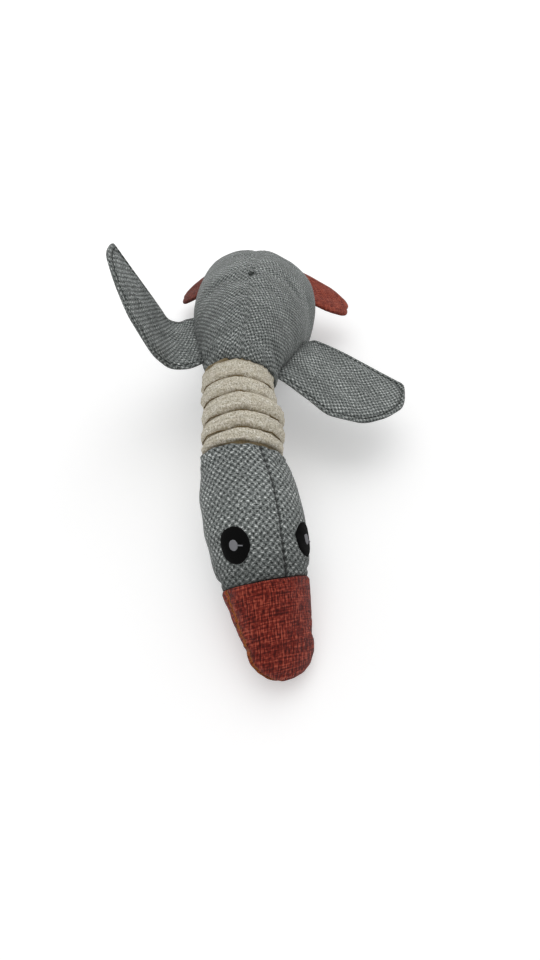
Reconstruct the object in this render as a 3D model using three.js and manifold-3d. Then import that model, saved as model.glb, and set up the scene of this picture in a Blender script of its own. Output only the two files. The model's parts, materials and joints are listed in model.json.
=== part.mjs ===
// A stuffed goose-shaped dog toy that lies on its belly with its chin on the floor.
// A linen-look cloth trunk and head, a cinched plush neck of five ribs, a two-piece bill,
// a flat wing and a flat foot on each side, and a squeaker in a pocket of the trunk's stuffing.
// Millimetres, +Z up. The bill points to -Y and the toy's own left side is +X.
import * as THREE from "three";
import { mergeVertices } from "three/addons/utils/BufferGeometryUtils.js";
import Module from "manifold-3d";

const wasm = await Module();
wasm.setup();

// Cloth and clearances
const clothWall = 1.2;
const plushWall = 1.6;
const seamGap = 0.3;
const pieceGap = 0.3;
const cutOverrun = 12;

// Trunk
const trunkLength = 181.6;
const trunkWidth = 93;
const trunkHeight = 92;
const trunkSway = 9;
const trunkRoll = THREE.MathUtils.degToRad(3);
const bellyPower = 2.6;
const roundPower = 2;

// Neck
const neckLength = 53.2;
const ribCount = 5;
const ribRadius = 24.8;
const grooveRadius = 19.8;
const neckPitch = THREE.MathUtils.degToRad(15);
const neckYaw = THREE.MathUtils.degToRad(2);
const ribSway = 2;
const grooveWidth = 3.3;
const ribFullness = 0.8;
const threadRadius = 0.4;
const threadRingRadius = 21.5;
const threadAside = 1.25;

// Head
const headLength = 74.2;
const headWidth = 56.5;
const headHeight = 52.6;
const headPitch = THREE.MathUtils.degToRad(17.8);
const headYaw = THREE.MathUtils.degToRad(11.4);
const headRoll = THREE.MathUtils.degToRad(27);

// Bill
const billLength = 47;
const billWidth = 47.6;
const billHeight = 43;
const billPitch = THREE.MathUtils.degToRad(11.5);
const billYaw = THREE.MathUtils.degToRad(15.5);
const billThreadRadius = 0.6;

// Eyes
const eyeWidth = 16.2;
const eyeLength = 19;
const eyeThickness = 1;
const eyeLeftAlong = 56;
const eyeRightAlong = 55.6;
const eyeLeftAngle = THREE.MathUtils.degToRad(39);
const eyeRightAngle = THREE.MathUtils.degToRad(-58);
const highlightWidth = 4.6;
const highlightLength = 6.2;
const highlightThickness = 0.6;
const tickLength = 3;
const tickRadius = 0.3;

// Wings
const wingLength = 83.8;
const wingWidth = 66;
const wingLayer = 1.1;
const wingFilling = 0.7;
const wingOverlap = 8;
const wingRootClearance = 0.8;
const topstitchInset = 3.2;
const topstitchRadius = 0.3;

// Feet
const footLength = 38.1;
const footWidth = 35.1;
const footLayer = 1.2;
const footOverlap = 8;
const footRootClearance = 0.8;
const footCorner = 5;
const footNotch = 2.2;
const footLobes = 2;
const footLift = THREE.MathUtils.degToRad(25);
const footDroop = THREE.MathUtils.degToRad(15);
const footSwingSteps = 3;

// Squeaker in the trunk's stuffing
const squeakerRadius = 17;
const squeakerHeight = 24;
const squeakerWall = 1;
const squeakerFold = 2.2;
const squeakerFolds = 3;
const whistleRadius = 6;
const whistleHeight = 9;
const whistleBore = 2;
const reedThickness = 0.3;
const pocketClearance = 1;
const channelRadius = 4;
const squeakerFloor = 26;

// Closing stitch on the trunk's back
const stitchLength = 9;
const stitchWidth = 3.4;
const stitchRadius = 0.45;
const stitchTurns = 3;

// Sides and steps of the lofted forms
const trunkSides = 24;
const neckSides = 20;
const headSides = 20;
const threadSides = 4;

// Trunk stations from the tail to the neck: along the length, half width, top, bottom and sway,
// as shares of the trunk's length, half width, height, height and sway
const trunkShares = [
  [0.02, 0.28, 0.37, 0.16, 0.39],
  [0.07, 0.56, 0.53, 0.06, 0.41],
  [0.15, 0.78, 0.645, 0.008, 0.45],
  [0.27, 0.92, 0.755, -0.011, 0.38],
  [0.4, 0.96, 0.875, -0.011, 0.22],
  [0.52, 0.935, 0.955, -0.011, 0.25],
  [0.63, 0.845, 0.99, 0.035, 0.58],
  [0.75, 0.73, 1.0, 0.14, 0.7],
  [0.87, 0.595, 0.965, 0.27, 0.88],
  [0.95, 0.495, 0.92, 0.35, 1.05],
];
const stitchAlongShare = 0.648;
const tailHeightShare = 0.26;
const neckHeightShare = 0.618;

// Neck ribs from the trunk to the head: crest radius as a share of the rib radius, sway as a
// share of the rib sway, and length as a share of the neck's length
const ribShares = [
  [0.9, -1.1, 0.22],
  [0.93, -0.7, 0.203],
  [1.0, 0.5, 0.231],
  [1.0, 0.3, 0.199],
  [0.965, 0.1, 0.147],
];

// How far each gather thread leans from its own rib towards the next rib's sway
const threadLeanShare = 0.3;

// Head stations from the neck to the bill: along the length, half width and half height
const headShares = [
  [0.0, 0.86, 0.88],
  [0.16, 0.91, 0.93],
  [0.36, 0.985, 0.995],
  [0.56, 1.0, 1.0],
  [0.74, 0.955, 0.935],
  [0.88, 0.91, 0.885],
  [1.0, 0.845, 0.81],
];

const headTurnShare = 0.4;

// Bill stations from the head to the tip: along the length, half width and half height
const billShares = [
  [0.0, 1.0, 0.99],
  [0.25, 0.94, 0.82],
  [0.5, 0.87, 0.63],
  [0.72, 0.77, 0.48],
  [0.88, 0.58, 0.35],
  [0.97, 0.32, 0.2],
];

// Wing outline from the root to the tip: how far its front and its back edge lie from its middle
// line, as shares of half the wing's width
const wingShares = [
  [0.0, 0.689, 1.086],
  [0.2, 0.906, 0.94],
  [0.42, 1.201, 0.799],
  [0.62, 1.183, 0.617],
  [0.8, 0.943, 0.44],
  [0.92, 0.636, 0.327],
  [0.98, 0.367, 0.25],
  [1.0, 0.2, 0.15],
];

// Foot outline from the root to the tip, in the same way
const footShares = [
  [0.0, 0.877, 1.123],
  [0.5, 0.876, 0.988],
  [0.95, 0.719, 0.628],
];

// How each wing lies: its place along the trunk and round it, how far it curls up and sweeps
// back towards its tip, how far its front edge lifts there, and where that turn is complete
const wingPoses = {
  left: {
    side: 1,
    alongShare: 0.8585,
    around: THREE.MathUtils.degToRad(95.1),
    lift: THREE.MathUtils.degToRad(-8.5),
    sweep: THREE.MathUtils.degToRad(14.7),
    frontLift: THREE.MathUtils.degToRad(-9.4),
    turnShare: 0.25,
  },
  right: {
    side: -1,
    alongShare: 0.8282,
    around: THREE.MathUtils.degToRad(82.4),
    lift: THREE.MathUtils.degToRad(68.6),
    sweep: THREE.MathUtils.degToRad(22.3),
    frontLift: THREE.MathUtils.degToRad(-7.4),
    turnShare: 0.34,
  },
};

// How each foot lies: its place along the trunk and round it, how far it drops and sweeps back,
// and how far its front edge lifts
const footPoses = {
  left: {
    side: 1,
    alongShare: 0.301,
    around: THREE.MathUtils.degToRad(77.2),
    drop: THREE.MathUtils.degToRad(21.2),
    sweep: THREE.MathUtils.degToRad(-20.9),
    frontLift: THREE.MathUtils.degToRad(-6.8),
  },
  right: {
    side: -1,
    alongShare: 0.128,
    around: THREE.MathUtils.degToRad(83.4),
    drop: THREE.MathUtils.degToRad(31.4),
    sweep: THREE.MathUtils.degToRad(-34.6),
    frontLift: THREE.MathUtils.degToRad(-13),
  },
};

const materials = {
  cloth: new THREE.MeshStandardMaterial({ color: 0x7b7e7c, roughness: 0.95 }),
  plush: new THREE.MeshStandardMaterial({ color: 0xcfc6ae, roughness: 1 }),
  billCloth: new THREE.MeshStandardMaterial({ color: 0x863a34, roughness: 0.95 }),
  footCloth: new THREE.MeshStandardMaterial({ color: 0x93423a, roughness: 0.95 }),
  felt: new THREE.MeshStandardMaterial({ color: 0x0b0b0b, roughness: 1 }),
  highlight: new THREE.MeshStandardMaterial({ color: 0x9c9c9c, roughness: 0.9 }),
  thread: new THREE.MeshStandardMaterial({ color: 0x6f7270, roughness: 0.8 }),
  billThread: new THREE.MeshStandardMaterial({ color: 0xb0603a, roughness: 0.8 }),
  stuffing: new THREE.MeshStandardMaterial({ color: 0xf2f0ea, roughness: 1 }),
  filling: new THREE.MeshStandardMaterial({ color: 0xe4e2dc, roughness: 0.9 }),
  rubber: new THREE.MeshStandardMaterial({ color: 0xe6dfcd, roughness: 0.5 }),
  plastic: new THREE.MeshStandardMaterial({ color: 0xf4f4f2, roughness: 0.4 }),
};

const toy = new THREE.Group();

// Solids

function solidFrom(positions, triangles) {
  const geometry = new THREE.BufferGeometry();
  geometry.setAttribute("position", new THREE.Float32BufferAttribute(positions, 3));
  geometry.setIndex(triangles);
  return solidOf(geometry);
}

// A closed solid from a geometry, turned right side out where its volume comes out negative
function solidOf(geometry) {
  const bare = geometry.clone();
  bare.deleteAttribute("normal");
  bare.deleteAttribute("uv");
  const merged = mergeVertices(bare, 1e-4);
  const corners = Array.from(merged.index.array);
  const place = merged.attributes.position.array;
  const build = (order) =>
    new wasm.Manifold(
      new wasm.Mesh({
        numProp: 3,
        vertProperties: new Float32Array(place),
        triVerts: new Uint32Array(order),
      }),
    );
  const made = build(corners);
  if (made.volume() > 0) return made;
  for (let i = 0; i < corners.length; i += 3) {
    [corners[i], corners[i + 1]] = [corners[i + 1], corners[i]];
  }
  return build(corners);
}

function addPiece(name, solid, material) {
  const { vertProperties, triVerts } = solid.getMesh();
  const geometry = new THREE.BufferGeometry();
  geometry.setAttribute("position", new THREE.BufferAttribute(vertProperties, 3));
  geometry.setIndex(new THREE.BufferAttribute(triVerts, 1));
  const flat = geometry.toNonIndexed();
  flat.computeVertexNormals();
  const mesh = new THREE.Mesh(flat, material);
  mesh.name = name;
  toy.add(mesh);
  return mesh;
}

// A skin over rings of equal counts, closed at each end by a fan to a pole or to the ring's middle.
// The diagonals of a ring's second half mirror the first, so that stacked sheets bend alike
function loftRings(rings, startPole, endPole) {
  const count = rings[0].length;
  const positions = rings.flat().flatMap((p) => p.toArray());
  const triangles = [];
  for (let r = 0; r + 1 < rings.length; r += 1) {
    for (let i = 0; i < count; i += 1) {
      const a = r * count + i;
      const b = r * count + ((i + 1) % count);
      const [c, d] = [a + count, b + count];
      triangles.push(...(i < count / 2 ? [a, b, c, b, d, c] : [a, b, d, a, d, c]));
    }
  }
  const ends = [
    [0, startPole, false],
    [rings.length - 1, endPole, true],
  ];
  for (const [ring, pole, last] of ends) {
    const middle = pole ?? middleOf(rings[ring]);
    const tip = positions.length / 3;
    positions.push(...middle.toArray());
    for (let i = 0; i < count; i += 1) {
      const a = ring * count + i;
      const b = ring * count + ((i + 1) % count);
      triangles.push(...(last ? [a, b, tip] : [b, a, tip]));
    }
  }
  return solidFrom(positions, triangles);
}

function middleOf(points) {
  const sum = new THREE.Vector3();
  for (const p of points) sum.add(p);
  return sum.divideScalar(points.length);
}

// A tube with a hole all the way: outer rings one way and inner rings back
function loftTube(rings) {
  const count = rings[0].length;
  const positions = rings.flat().flatMap((p) => p.toArray());
  const triangles = [];
  for (let r = 0; r < rings.length; r += 1) {
    const next = (r + 1) % rings.length;
    for (let i = 0; i < count; i += 1) {
      const j = (i + 1) % count;
      const [a, b, c, d] = [r * count + i, r * count + j, next * count + i, next * count + j];
      triangles.push(a, b, c, b, d, c);
    }
  }
  return solidFrom(positions, triangles);
}

// A frame travels along `ahead`, with `side` level to the toy's left and `up` above, both rolled
function frameAt(origin, yaw, pitch, roll) {
  const ahead = new THREE.Vector3(
    Math.sin(yaw) * Math.cos(pitch),
    -Math.cos(yaw) * Math.cos(pitch),
    -Math.sin(pitch),
  );
  const level = new THREE.Vector3(Math.cos(yaw), Math.sin(yaw), 0);
  const above = new THREE.Vector3().crossVectors(ahead, level);
  const side = level.clone().multiplyScalar(Math.cos(roll));
  side.addScaledVector(above, -Math.sin(roll));
  const up = above.clone().multiplyScalar(Math.cos(roll));
  up.addScaledVector(level, Math.sin(roll));
  return { origin, ahead, side, up };
}

function moved(frame, along, sideways = 0, above = 0) {
  const origin = frame.origin.clone();
  origin.addScaledVector(frame.ahead, along);
  origin.addScaledVector(frame.side, sideways);
  origin.addScaledVector(frame.up, above);
  return { ...frame, origin };
}

// A point on an oval section: `angle` runs from the top towards the toy's left
function onSection(frame, halfWidth, halfHeight, angle, lowPower = roundPower) {
  const power = Math.cos(angle) < 0 ? lowPower : roundPower;
  const sine = Math.sign(Math.sin(angle)) * Math.abs(Math.sin(angle)) ** (roundPower / power);
  const cosine = Math.sign(Math.cos(angle)) * Math.abs(Math.cos(angle)) ** (roundPower / power);
  return moved(frame, 0, halfWidth * sine, halfHeight * cosine).origin;
}

function sectionRing(frame, halfWidth, halfHeight, sides, lowPower = roundPower) {
  return Array.from({ length: sides }, (_, i) =>
    onSection(frame, halfWidth, halfHeight, (i / sides) * Math.PI * 2, lowPower),
  );
}

// A value read from stations of shares, straight between them
function between(shares, at, column) {
  const last = shares.length - 1;
  let i = 0;
  while (i < last - 1 && at > shares[i + 1][0]) i += 1;
  const span = (at - shares[i][0]) / (shares[i + 1][0] - shares[i][0]);
  return THREE.MathUtils.lerp(shares[i][column], shares[i + 1][column], span);
}

const spineLength = trunkLength + neckLength + headLength + billLength;

// Half of space on one side of a plane through a frame, as a large box
function halfSpace(frame, direction, start) {
  const reach = spineLength;
  const box = new THREE.BoxGeometry(reach, reach, reach);
  const turn = new THREE.Matrix4();
  const across = new THREE.Vector3().crossVectors(frame.ahead, direction).normalize();
  turn.makeBasis(direction, frame.ahead, across.negate());
  const centre = frame.origin.clone().addScaledVector(direction, reach / 2 + start);
  turn.setPosition(centre);
  box.applyMatrix4(turn);
  return solidOf(box);
}

// Everything below the floor, cut away where the toy rests
function floorBlock() {
  const reach = 3 * spineLength;
  const box = new THREE.BoxGeometry(reach, reach, reach);
  box.translate(0, 0, -reach / 2);
  return solidOf(box);
}

const floorCut = floorBlock();

// Layout of the spine

// The trunk's sections stand upright and tip forward to the neck's slope as they near it
function trunkFrame(share) {
  const tip = neckPitch * THREE.MathUtils.smoothstep(share, 0.7, 1);
  const sway = between(trunkShares, Math.max(share, trunkShares[0][0]), 4);
  const top = between(trunkShares, share, 2);
  const bottom = between(trunkShares, share, 3);
  const height = share < trunkShares[0][0] ? tailHeightShare : (top + bottom) / 2;
  const origin = new THREE.Vector3(
    -sway * trunkSway,
    -share * trunkLength,
    height * trunkHeight,
  );
  return frameAt(origin, 0, tip, trunkRoll);
}

function trunkHalves(share, inset) {
  const width = (between(trunkShares, share, 1) * trunkWidth) / 2 - inset;
  const top = between(trunkShares, share, 2);
  const bottom = between(trunkShares, share, 3);
  return [width, ((top - bottom) * trunkHeight) / 2 - inset];
}

const neckRoot = frameAt(
  new THREE.Vector3(-trunkSway, -trunkLength, neckHeightShare * trunkHeight),
  neckYaw,
  neckPitch,
  0,
);
const neckEnd = moved(neckRoot, neckLength);
const headRoot = frameAt(neckEnd.origin, headYaw, headPitch, headRoll);
const headEnd = moved(headRoot, headLength);
const billRoot = frameAt(headEnd.origin, billYaw, billPitch, headRoll);
const ribFaceInset = pieceGap / 2;
const edgeInset = grooveWidth / 2;

function trunkPoint(share, angle, inset = 0) {
  return onSection(trunkFrame(share), ...trunkHalves(share, inset), angle, bellyPower);
}

// The trunk's outline as a solid, `inset` smaller all over, reaching `past` beyond its mouth
function trunkSolid(inset, past) {
  const rings = trunkShares.map(([share]) =>
    sectionRing(trunkFrame(share), ...trunkHalves(share, inset), trunkSides, bellyPower),
  );
  const mouth = frameAt(neckRoot.origin, neckYaw, neckPitch, trunkRoll);
  const stops = past > 0 ? [-edgeInset, past - edgeInset] : [-edgeInset];
  for (const stop of stops) {
    rings.push(sectionRing(moved(mouth, stop), neckMouth - inset, neckMouth - inset, trunkSides));
  }
  const tail = moved(trunkFrame(0), inset).origin;
  return loftRings(rings, tail, null);
}

const neckMouth = grooveRadius + plushWall;

// Two cloth panels from a shell, parted at the plane through the seam
function splitShell(shell, frame, direction) {
  const opposite = direction.clone().negate();
  return [
    shell.intersect(halfSpace(frame, direction, seamGap / 2)),
    shell.intersect(halfSpace(frame, opposite, seamGap / 2)),
  ];
}

// The end of a stuffing wad: a shallow cone, so that neighbours can lean on each other
function conePole(frame, sign) {
  return moved(frame, sign * ribFaceInset).origin;
}

// Trunk

function buildTrunk() {
  const outer = trunkSolid(0, 0);
  const inner = trunkSolid(clothWall, cutOverrun);
  const shell = outer.subtract(inner).subtract(floorCut);
  const seam = trunkFrame(0.5);
  const [left, right] = splitShell(shell, seam, seam.side);
  addPiece("trunk_panel_left", left, materials.cloth);
  addPiece("trunk_panel_right", right, materials.cloth);

  const fill = clothWall + pieceGap;
  const rings = trunkShares.map(([share]) =>
    sectionRing(trunkFrame(share), ...trunkHalves(share, fill), trunkSides, bellyPower),
  );
  const mouth = moved(frameAt(neckRoot.origin, neckYaw, neckPitch, trunkRoll), -edgeInset);
  rings.push(sectionRing(mouth, neckMouth - fill, neckMouth - fill, trunkSides));
  const tail = moved(trunkFrame(0), fill).origin;
  const stuffed = loftRings(rings, tail, conePole(neckRoot, -1));
  const risen = floorCut.translate([0, 0, fill]);
  addPiece("trunk_stuffing", stuffed.subtract(risen).subtract(pocket()), materials.stuffing);
}

// The thread that closed the trunk after it was stuffed, in a zigzag over the back seam
function buildClosingStitch() {
  const lift = stitchRadius + 2 * pieceGap;
  const places = 2 * stitchTurns;
  const route = Array.from({ length: places + 1 }, (_, i) => {
    const share = stitchAlongShare + ((i / places - 1 / 2) * stitchLength) / trunkLength;
    const side = i % 2 ? 1 : -1;
    const angle = (side * stitchWidth) / trunkWidth;
    return trunkPoint(share, angle, -lift);
  });
  const stitch = threadAlong(route, stitchRadius, 3 * places);
  addPiece("trunk_closing_stitch", stitch, materials.thread);
}

// Squeaker

function turned(profile, sides) {
  const lathe = new THREE.LatheGeometry(
    profile.map(([x, z]) => new THREE.Vector2(x, z)),
    sides,
  );
  lathe.rotateX(Math.PI / 2);
  return lathe;
}

function squeakerPlace() {
  const at = trunkFrame(0.45).origin;
  return [at.x, at.y, squeakerFloor];
}

function pocket() {
  const top = squeakerHeight + pocketClearance;
  const wide = squeakerRadius + pocketClearance;
  const room = turned(
    [
      [0, -whistleHeight - pocketClearance],
      [wide, -whistleHeight - pocketClearance],
      [wide, top],
      [channelRadius, top],
      [channelRadius, trunkHeight],
      [0, trunkHeight],
    ],
    neckSides,
  );
  room.translate(...squeakerPlace());
  return solidOf(room);
}

function buildSqueaker() {
  const seat = whistleRadius + pieceGap;
  const foldHeight = (squeakerHeight - 2 * squeakerWall) / squeakerFolds;
  const outside = [];
  const inside = [];
  for (let i = 0; i < squeakerFolds; i += 1) {
    const low = squeakerWall + i * foldHeight;
    outside.push([squeakerRadius - squeakerFold, low], [squeakerRadius, low + foldHeight / 2]);
    inside.push(
      [squeakerRadius - squeakerFold - squeakerWall, low],
      [squeakerRadius - squeakerWall, low + foldHeight / 2],
    );
  }
  const closedEnd = squeakerHeight - squeakerWall;
  const profile = [
    [seat, 0],
    [squeakerRadius - squeakerFold, 0],
    ...outside,
    [squeakerRadius - squeakerFold, squeakerHeight],
    [0, squeakerHeight],
    [0, closedEnd],
    [squeakerRadius - squeakerFold - squeakerWall, closedEnd],
    ...inside.reverse(),
    [seat, squeakerWall],
    [seat, 0],
  ];
  const bellows = turned(profile, neckSides);
  bellows.translate(...squeakerPlace());
  addPiece("squeaker_bellows", solidOf(bellows), materials.rubber);

  const whistle = turned(
    [
      [whistleBore, -whistleHeight],
      [whistleRadius, -whistleHeight],
      [whistleRadius, -pieceGap],
      [whistleRadius, squeakerWall],
      [whistleBore, squeakerWall],
      [whistleBore, -whistleHeight],
    ],
    neckSides,
  );
  whistle.translate(...squeakerPlace());
  addPiece("squeaker_whistle", solidOf(whistle), materials.plastic);

  const reedWidth = 2 * (whistleBore - pieceGap);
  const reed = new THREE.BoxGeometry(reedWidth, reedThickness, whistleHeight);
  const [x, y, z] = squeakerPlace();
  reed.translate(x, y, z - whistleHeight / 2);
  addPiece("squeaker_reed", solidOf(reed), materials.plastic);
}

// Neck

// Where a groove lies along the neck; groove 0 is the trunk's mouth
function groovePlace(index) {
  return neckLength * ribShares.slice(0, index).reduce((sum, rib) => sum + rib[2], 0);
}

// The rounded outside of a rib: places along its axis and radii, from one groove to the next
function ribOutline(crest, length) {
  const half = (length - grooveWidth) / 2;
  const steps = 4;
  return Array.from({ length: steps + 1 }, (_, i) => {
    const angle = (i / steps) * Math.PI;
    const rise = Math.abs(Math.sin(angle)) ** ribFullness;
    const along = -half * Math.sign(Math.cos(angle)) * Math.abs(Math.cos(angle)) ** ribFullness;
    return [along, grooveRadius + (crest - grooveRadius) * rise];
  });
}

function circleAt(frame, along, radius, sides) {
  return sectionRing(moved(frame, along), radius, radius, sides);
}

function buildNeck() {
  for (let i = 0; i < ribCount; i += 1) {
    const [crestShare, swayShare] = ribShares[i];
    const length = groovePlace(i + 1) - groovePlace(i);
    const frame = moved(neckRoot, groovePlace(i) + length / 2, swayShare * ribSway);
    const outline = ribOutline(crestShare * ribRadius, length);
    const outer = outline.map(([along, radius]) => circleAt(frame, along, radius, neckSides));
    const inner = outline
      .filter((_, k) => k % 2 === 0)
      .map(([along, radius]) => circleAt(frame, along, radius - plushWall, neckSides))
      .reverse();
    addPiece(`neck_rib_${i + 1}_sleeve`, loftTube([...outer, ...inner]), materials.plush);

    const fill = plushWall + pieceGap;
    const wad = outline
      .filter((_, k) => k % 2 === 0)
      .map(([along, radius]) => circleAt(frame, along, radius - fill, neckSides));
    const middle = length / 2 - ribFaceInset;
    const poles = [moved(frame, -middle).origin, moved(frame, middle).origin];
    addPiece(`neck_rib_${i + 1}_stuffing`, loftRings(wad, ...poles), materials.stuffing);
  }
  for (let i = 1; i < ribCount; i += 1) {
    const [own, next] = [ribShares[i - 1][1], ribShares[i][1]];
    const sway = THREE.MathUtils.lerp(own, next, threadLeanShare) * ribSway;
    const frame = moved(neckRoot, groovePlace(i) - threadAside, sway);
    const rings = Array.from({ length: threadSides }, (_, k) => {
      const angle = (k / threadSides) * Math.PI * 2;
      const radius = threadRingRadius + threadRadius * Math.cos(angle);
      return circleAt(frame, threadRadius * Math.sin(angle), radius, neckSides);
    });
    addPiece(`neck_gather_thread_${i}`, loftTube(rings), materials.thread);
  }
}

// Head and bill

function taperedSolid(form, inset, ends) {
  const { frameOf, shares, length, width, height } = form;
  const rings = shares.map(([share, wide, high]) =>
    sectionRing(
      frameOf(share),
      (wide * width) / 2 - inset,
      (high * height) / 2 - inset,
      headSides,
    ),
  );
  const { firstAlong = 0, lastAlong = length, startPole = null, endPole = null } = ends;
  const shift = (ring, distance, share) => {
    const step = frameOf(share).ahead.multiplyScalar(distance);
    return ring.map((p) => p.clone().add(step));
  };
  const first = shift(rings[0], firstAlong, 0);
  if (firstAlong < 0) rings.unshift(first);
  else rings[0] = first;
  if (!endPole) {
    const final = shift(rings.at(-1), lastAlong - length, 1);
    if (lastAlong > length) rings.push(final);
    else rings[rings.length - 1] = final;
  }
  return loftRings(rings, startPole, endPole);
}

// The head's sections stand square to the neck at first and turn to the head's own direction
function headFrame(share) {
  const turn = THREE.MathUtils.smoothstep(share, 0, headTurnShare);
  const yaw = THREE.MathUtils.lerp(neckYaw, headYaw, turn);
  const pitch = THREE.MathUtils.lerp(neckPitch, headPitch, turn);
  return frameAt(moved(headRoot, share * headLength).origin, yaw, pitch, headRoll);
}

function headSolid(inset, ends) {
  const form = {
    frameOf: headFrame,
    shares: headShares,
    length: headLength,
    width: headWidth,
    height: headHeight,
  };
  return taperedSolid(form, inset, ends);
}

// The bill's sections turn in the same way from the head's direction to its own
function billFrame(share) {
  const turn = THREE.MathUtils.smoothstep(share, 0, headTurnShare);
  const yaw = THREE.MathUtils.lerp(headYaw, billYaw, turn);
  const pitch = THREE.MathUtils.lerp(headPitch, billPitch, turn);
  return frameAt(moved(billRoot, share * billLength).origin, yaw, pitch, headRoll);
}

function billSolid(inset, ends) {
  const form = {
    frameOf: billFrame,
    shares: billShares,
    length: billLength,
    width: billWidth,
    height: billHeight,
  };
  return taperedSolid(form, inset, ends);
}

function buildHead() {
  const outer = headSolid(0, { firstAlong: edgeInset, lastAlong: headLength - pieceGap / 2 });
  const inner = headSolid(clothWall, {
    firstAlong: edgeInset - cutOverrun,
    lastAlong: headLength + cutOverrun,
  });
  const shell = outer.subtract(inner).subtract(floorCut);
  const [left, right] = splitShell(shell, headRoot, headRoot.side);
  addPiece("head_panel_left", left, materials.cloth);
  addPiece("head_panel_right", right, materials.cloth);

  const wad = headSolid(clothWall + pieceGap, {
    firstAlong: edgeInset,
    lastAlong: headLength - pieceGap,
    startPole: conePole(neckEnd, 1),
  });
  addPiece("head_stuffing", wad.subtract(floorCut), materials.stuffing);
}

function buildBill() {
  const tip = moved(billRoot, billLength).origin;
  const innerTip = moved(billRoot, billLength - clothWall).origin;
  const wadTip = moved(billRoot, billLength - clothWall - pieceGap).origin;
  const outer = billSolid(0, { firstAlong: pieceGap / 2, endPole: tip });
  const inner = billSolid(clothWall, { firstAlong: -cutOverrun, endPole: innerTip });
  const shell = outer.subtract(inner).subtract(floorCut);
  const [upper, lower] = splitShell(shell, billRoot, billRoot.up);
  addPiece("bill_upper", upper, materials.billCloth);
  addPiece("bill_lower", lower, materials.billCloth);

  const wad = billSolid(clothWall + pieceGap, { firstAlong: pieceGap, endPole: wadTip });
  addPiece("bill_stuffing", wad.subtract(floorCut), materials.stuffing);

  const lift = billThreadRadius + 2 * pieceGap;
  const edge = (share, side) => {
    const frame = moved(billRoot, share * billLength);
    const half = (between(billShares, share, 1) * billWidth) / 2;
    return moved(frame, 0, side * (half + lift)).origin;
  };
  const stops = billShares.map(([share]) => share).filter((share) => share > 0);
  const route = [
    ...stops.map((share) => edge(share, -1)),
    moved(billRoot, billLength + lift).origin,
    ...stops.reverse().map((share) => edge(share, 1)),
  ];
  addPiece("bill_edge_thread", threadAlong(route, billThreadRadius, 26), materials.billThread);
}

// A round thread along a route, smooth or straight between its points
function threadAlong(route, radius, steps, straight = false) {
  const section = new THREE.Shape();
  section.absarc(0, 0, radius, 0, Math.PI * 2);
  const smooth = new THREE.CatmullRomCurve3(route);
  const path = straight ? new THREE.CatmullRomCurve3(route, false, "catmullrom", 0) : smooth;
  const tube = new THREE.ExtrudeGeometry(section, {
    steps,
    curveSegments: threadSides,
    bevelEnabled: false,
    extrudePath: path,
  });
  return solidOf(tube);
}

// Eyes

// A point on the head by distance along it and distance round it from an angle
function onHead(along, angle, aside, lift) {
  const share = along / headLength;
  const wide = (between(headShares, share, 1) * headWidth) / 2 + lift;
  const high = (between(headShares, share, 2) * headHeight) / 2 + lift;
  const turn = angle + aside / ((wide + high) / 2);
  return onSection(headFrame(share), wide, high, turn);
}

// An oval patch that follows the head, `lift` above it and `thickness` thick
function headPatch(along, angle, width, length, lift, thickness) {
  const sides = 14;
  const ring = (share, rise) =>
    Array.from({ length: sides }, (_, i) => {
      const turn = (i / sides) * Math.PI * 2;
      const ahead = ((share * length) / 2) * Math.cos(turn);
      const aside = ((share * width) / 2) * Math.sin(turn);
      return onHead(along + ahead, angle, aside, rise);
    });
  const half = 1 / 2;
  const rings = [
    ring(half, lift),
    ring(1, lift),
    ring(1, lift + thickness),
    ring(half, lift + thickness),
  ];
  const poles = [onHead(along, angle, 0, lift), onHead(along, angle, 0, lift + thickness)];
  return loftRings(rings, ...poles);
}

function buildEyes() {
  const places = {
    left: [eyeLeftAlong, eyeLeftAngle],
    right: [eyeRightAlong, eyeRightAngle],
  };
  for (const [side, [along, angle]] of Object.entries(places)) {
    const disc = headPatch(along, angle, eyeWidth, eyeLength, pieceGap, eyeThickness);
    addPiece(`eye_${side}_disc`, disc, materials.felt);
    const rise = pieceGap + eyeThickness + pieceGap;
    const light = headPatch(
      along,
      angle,
      highlightWidth,
      highlightLength,
      rise,
      highlightThickness,
    );
    addPiece(`eye_${side}_highlight`, light, materials.highlight);
    const start = highlightWidth / 2 + pieceGap;
    const route = [0, 1 / 2, 1].map((share) =>
      onHead(along, angle, start + share * tickLength, rise + tickRadius),
    );
    addPiece(`eye_${side}_thread`, threadAlong(route, tickRadius, 3), materials.highlight);
  }
}

// Limbs

// A flat limb springs from the trunk's side. `out` leaves the trunk, `front` runs forward along
// its side, and `above` is square to both
function limbRoot(pose) {
  const angle = pose.side * pose.around;
  const step = 0.05;
  const root = trunkPoint(pose.alongShare, angle);
  const front = trunkPoint(pose.alongShare + step, angle);
  front.sub(trunkPoint(pose.alongShare - step, angle)).normalize();
  const above = new THREE.Vector3(0, 0, 1).addScaledVector(front, -front.z).normalize();
  const out = new THREE.Vector3().crossVectors(above, front).multiplyScalar(pose.side);
  return { root, front, out: out.normalize(), above };
}

// The same root with its front edge level
function levelled(base, pose) {
  const front = new THREE.Vector3(base.front.x, base.front.y, 0).normalize();
  const above = new THREE.Vector3(0, 0, 1);
  const out = new THREE.Vector3().crossVectors(above, front).multiplyScalar(pose.side);
  return { ...base, front, out, above };
}

function mixed(base, out, front, above) {
  const vector = base.out.clone().multiplyScalar(out);
  vector.addScaledVector(base.front, front);
  vector.addScaledVector(base.above, above);
  return vector;
}

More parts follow.
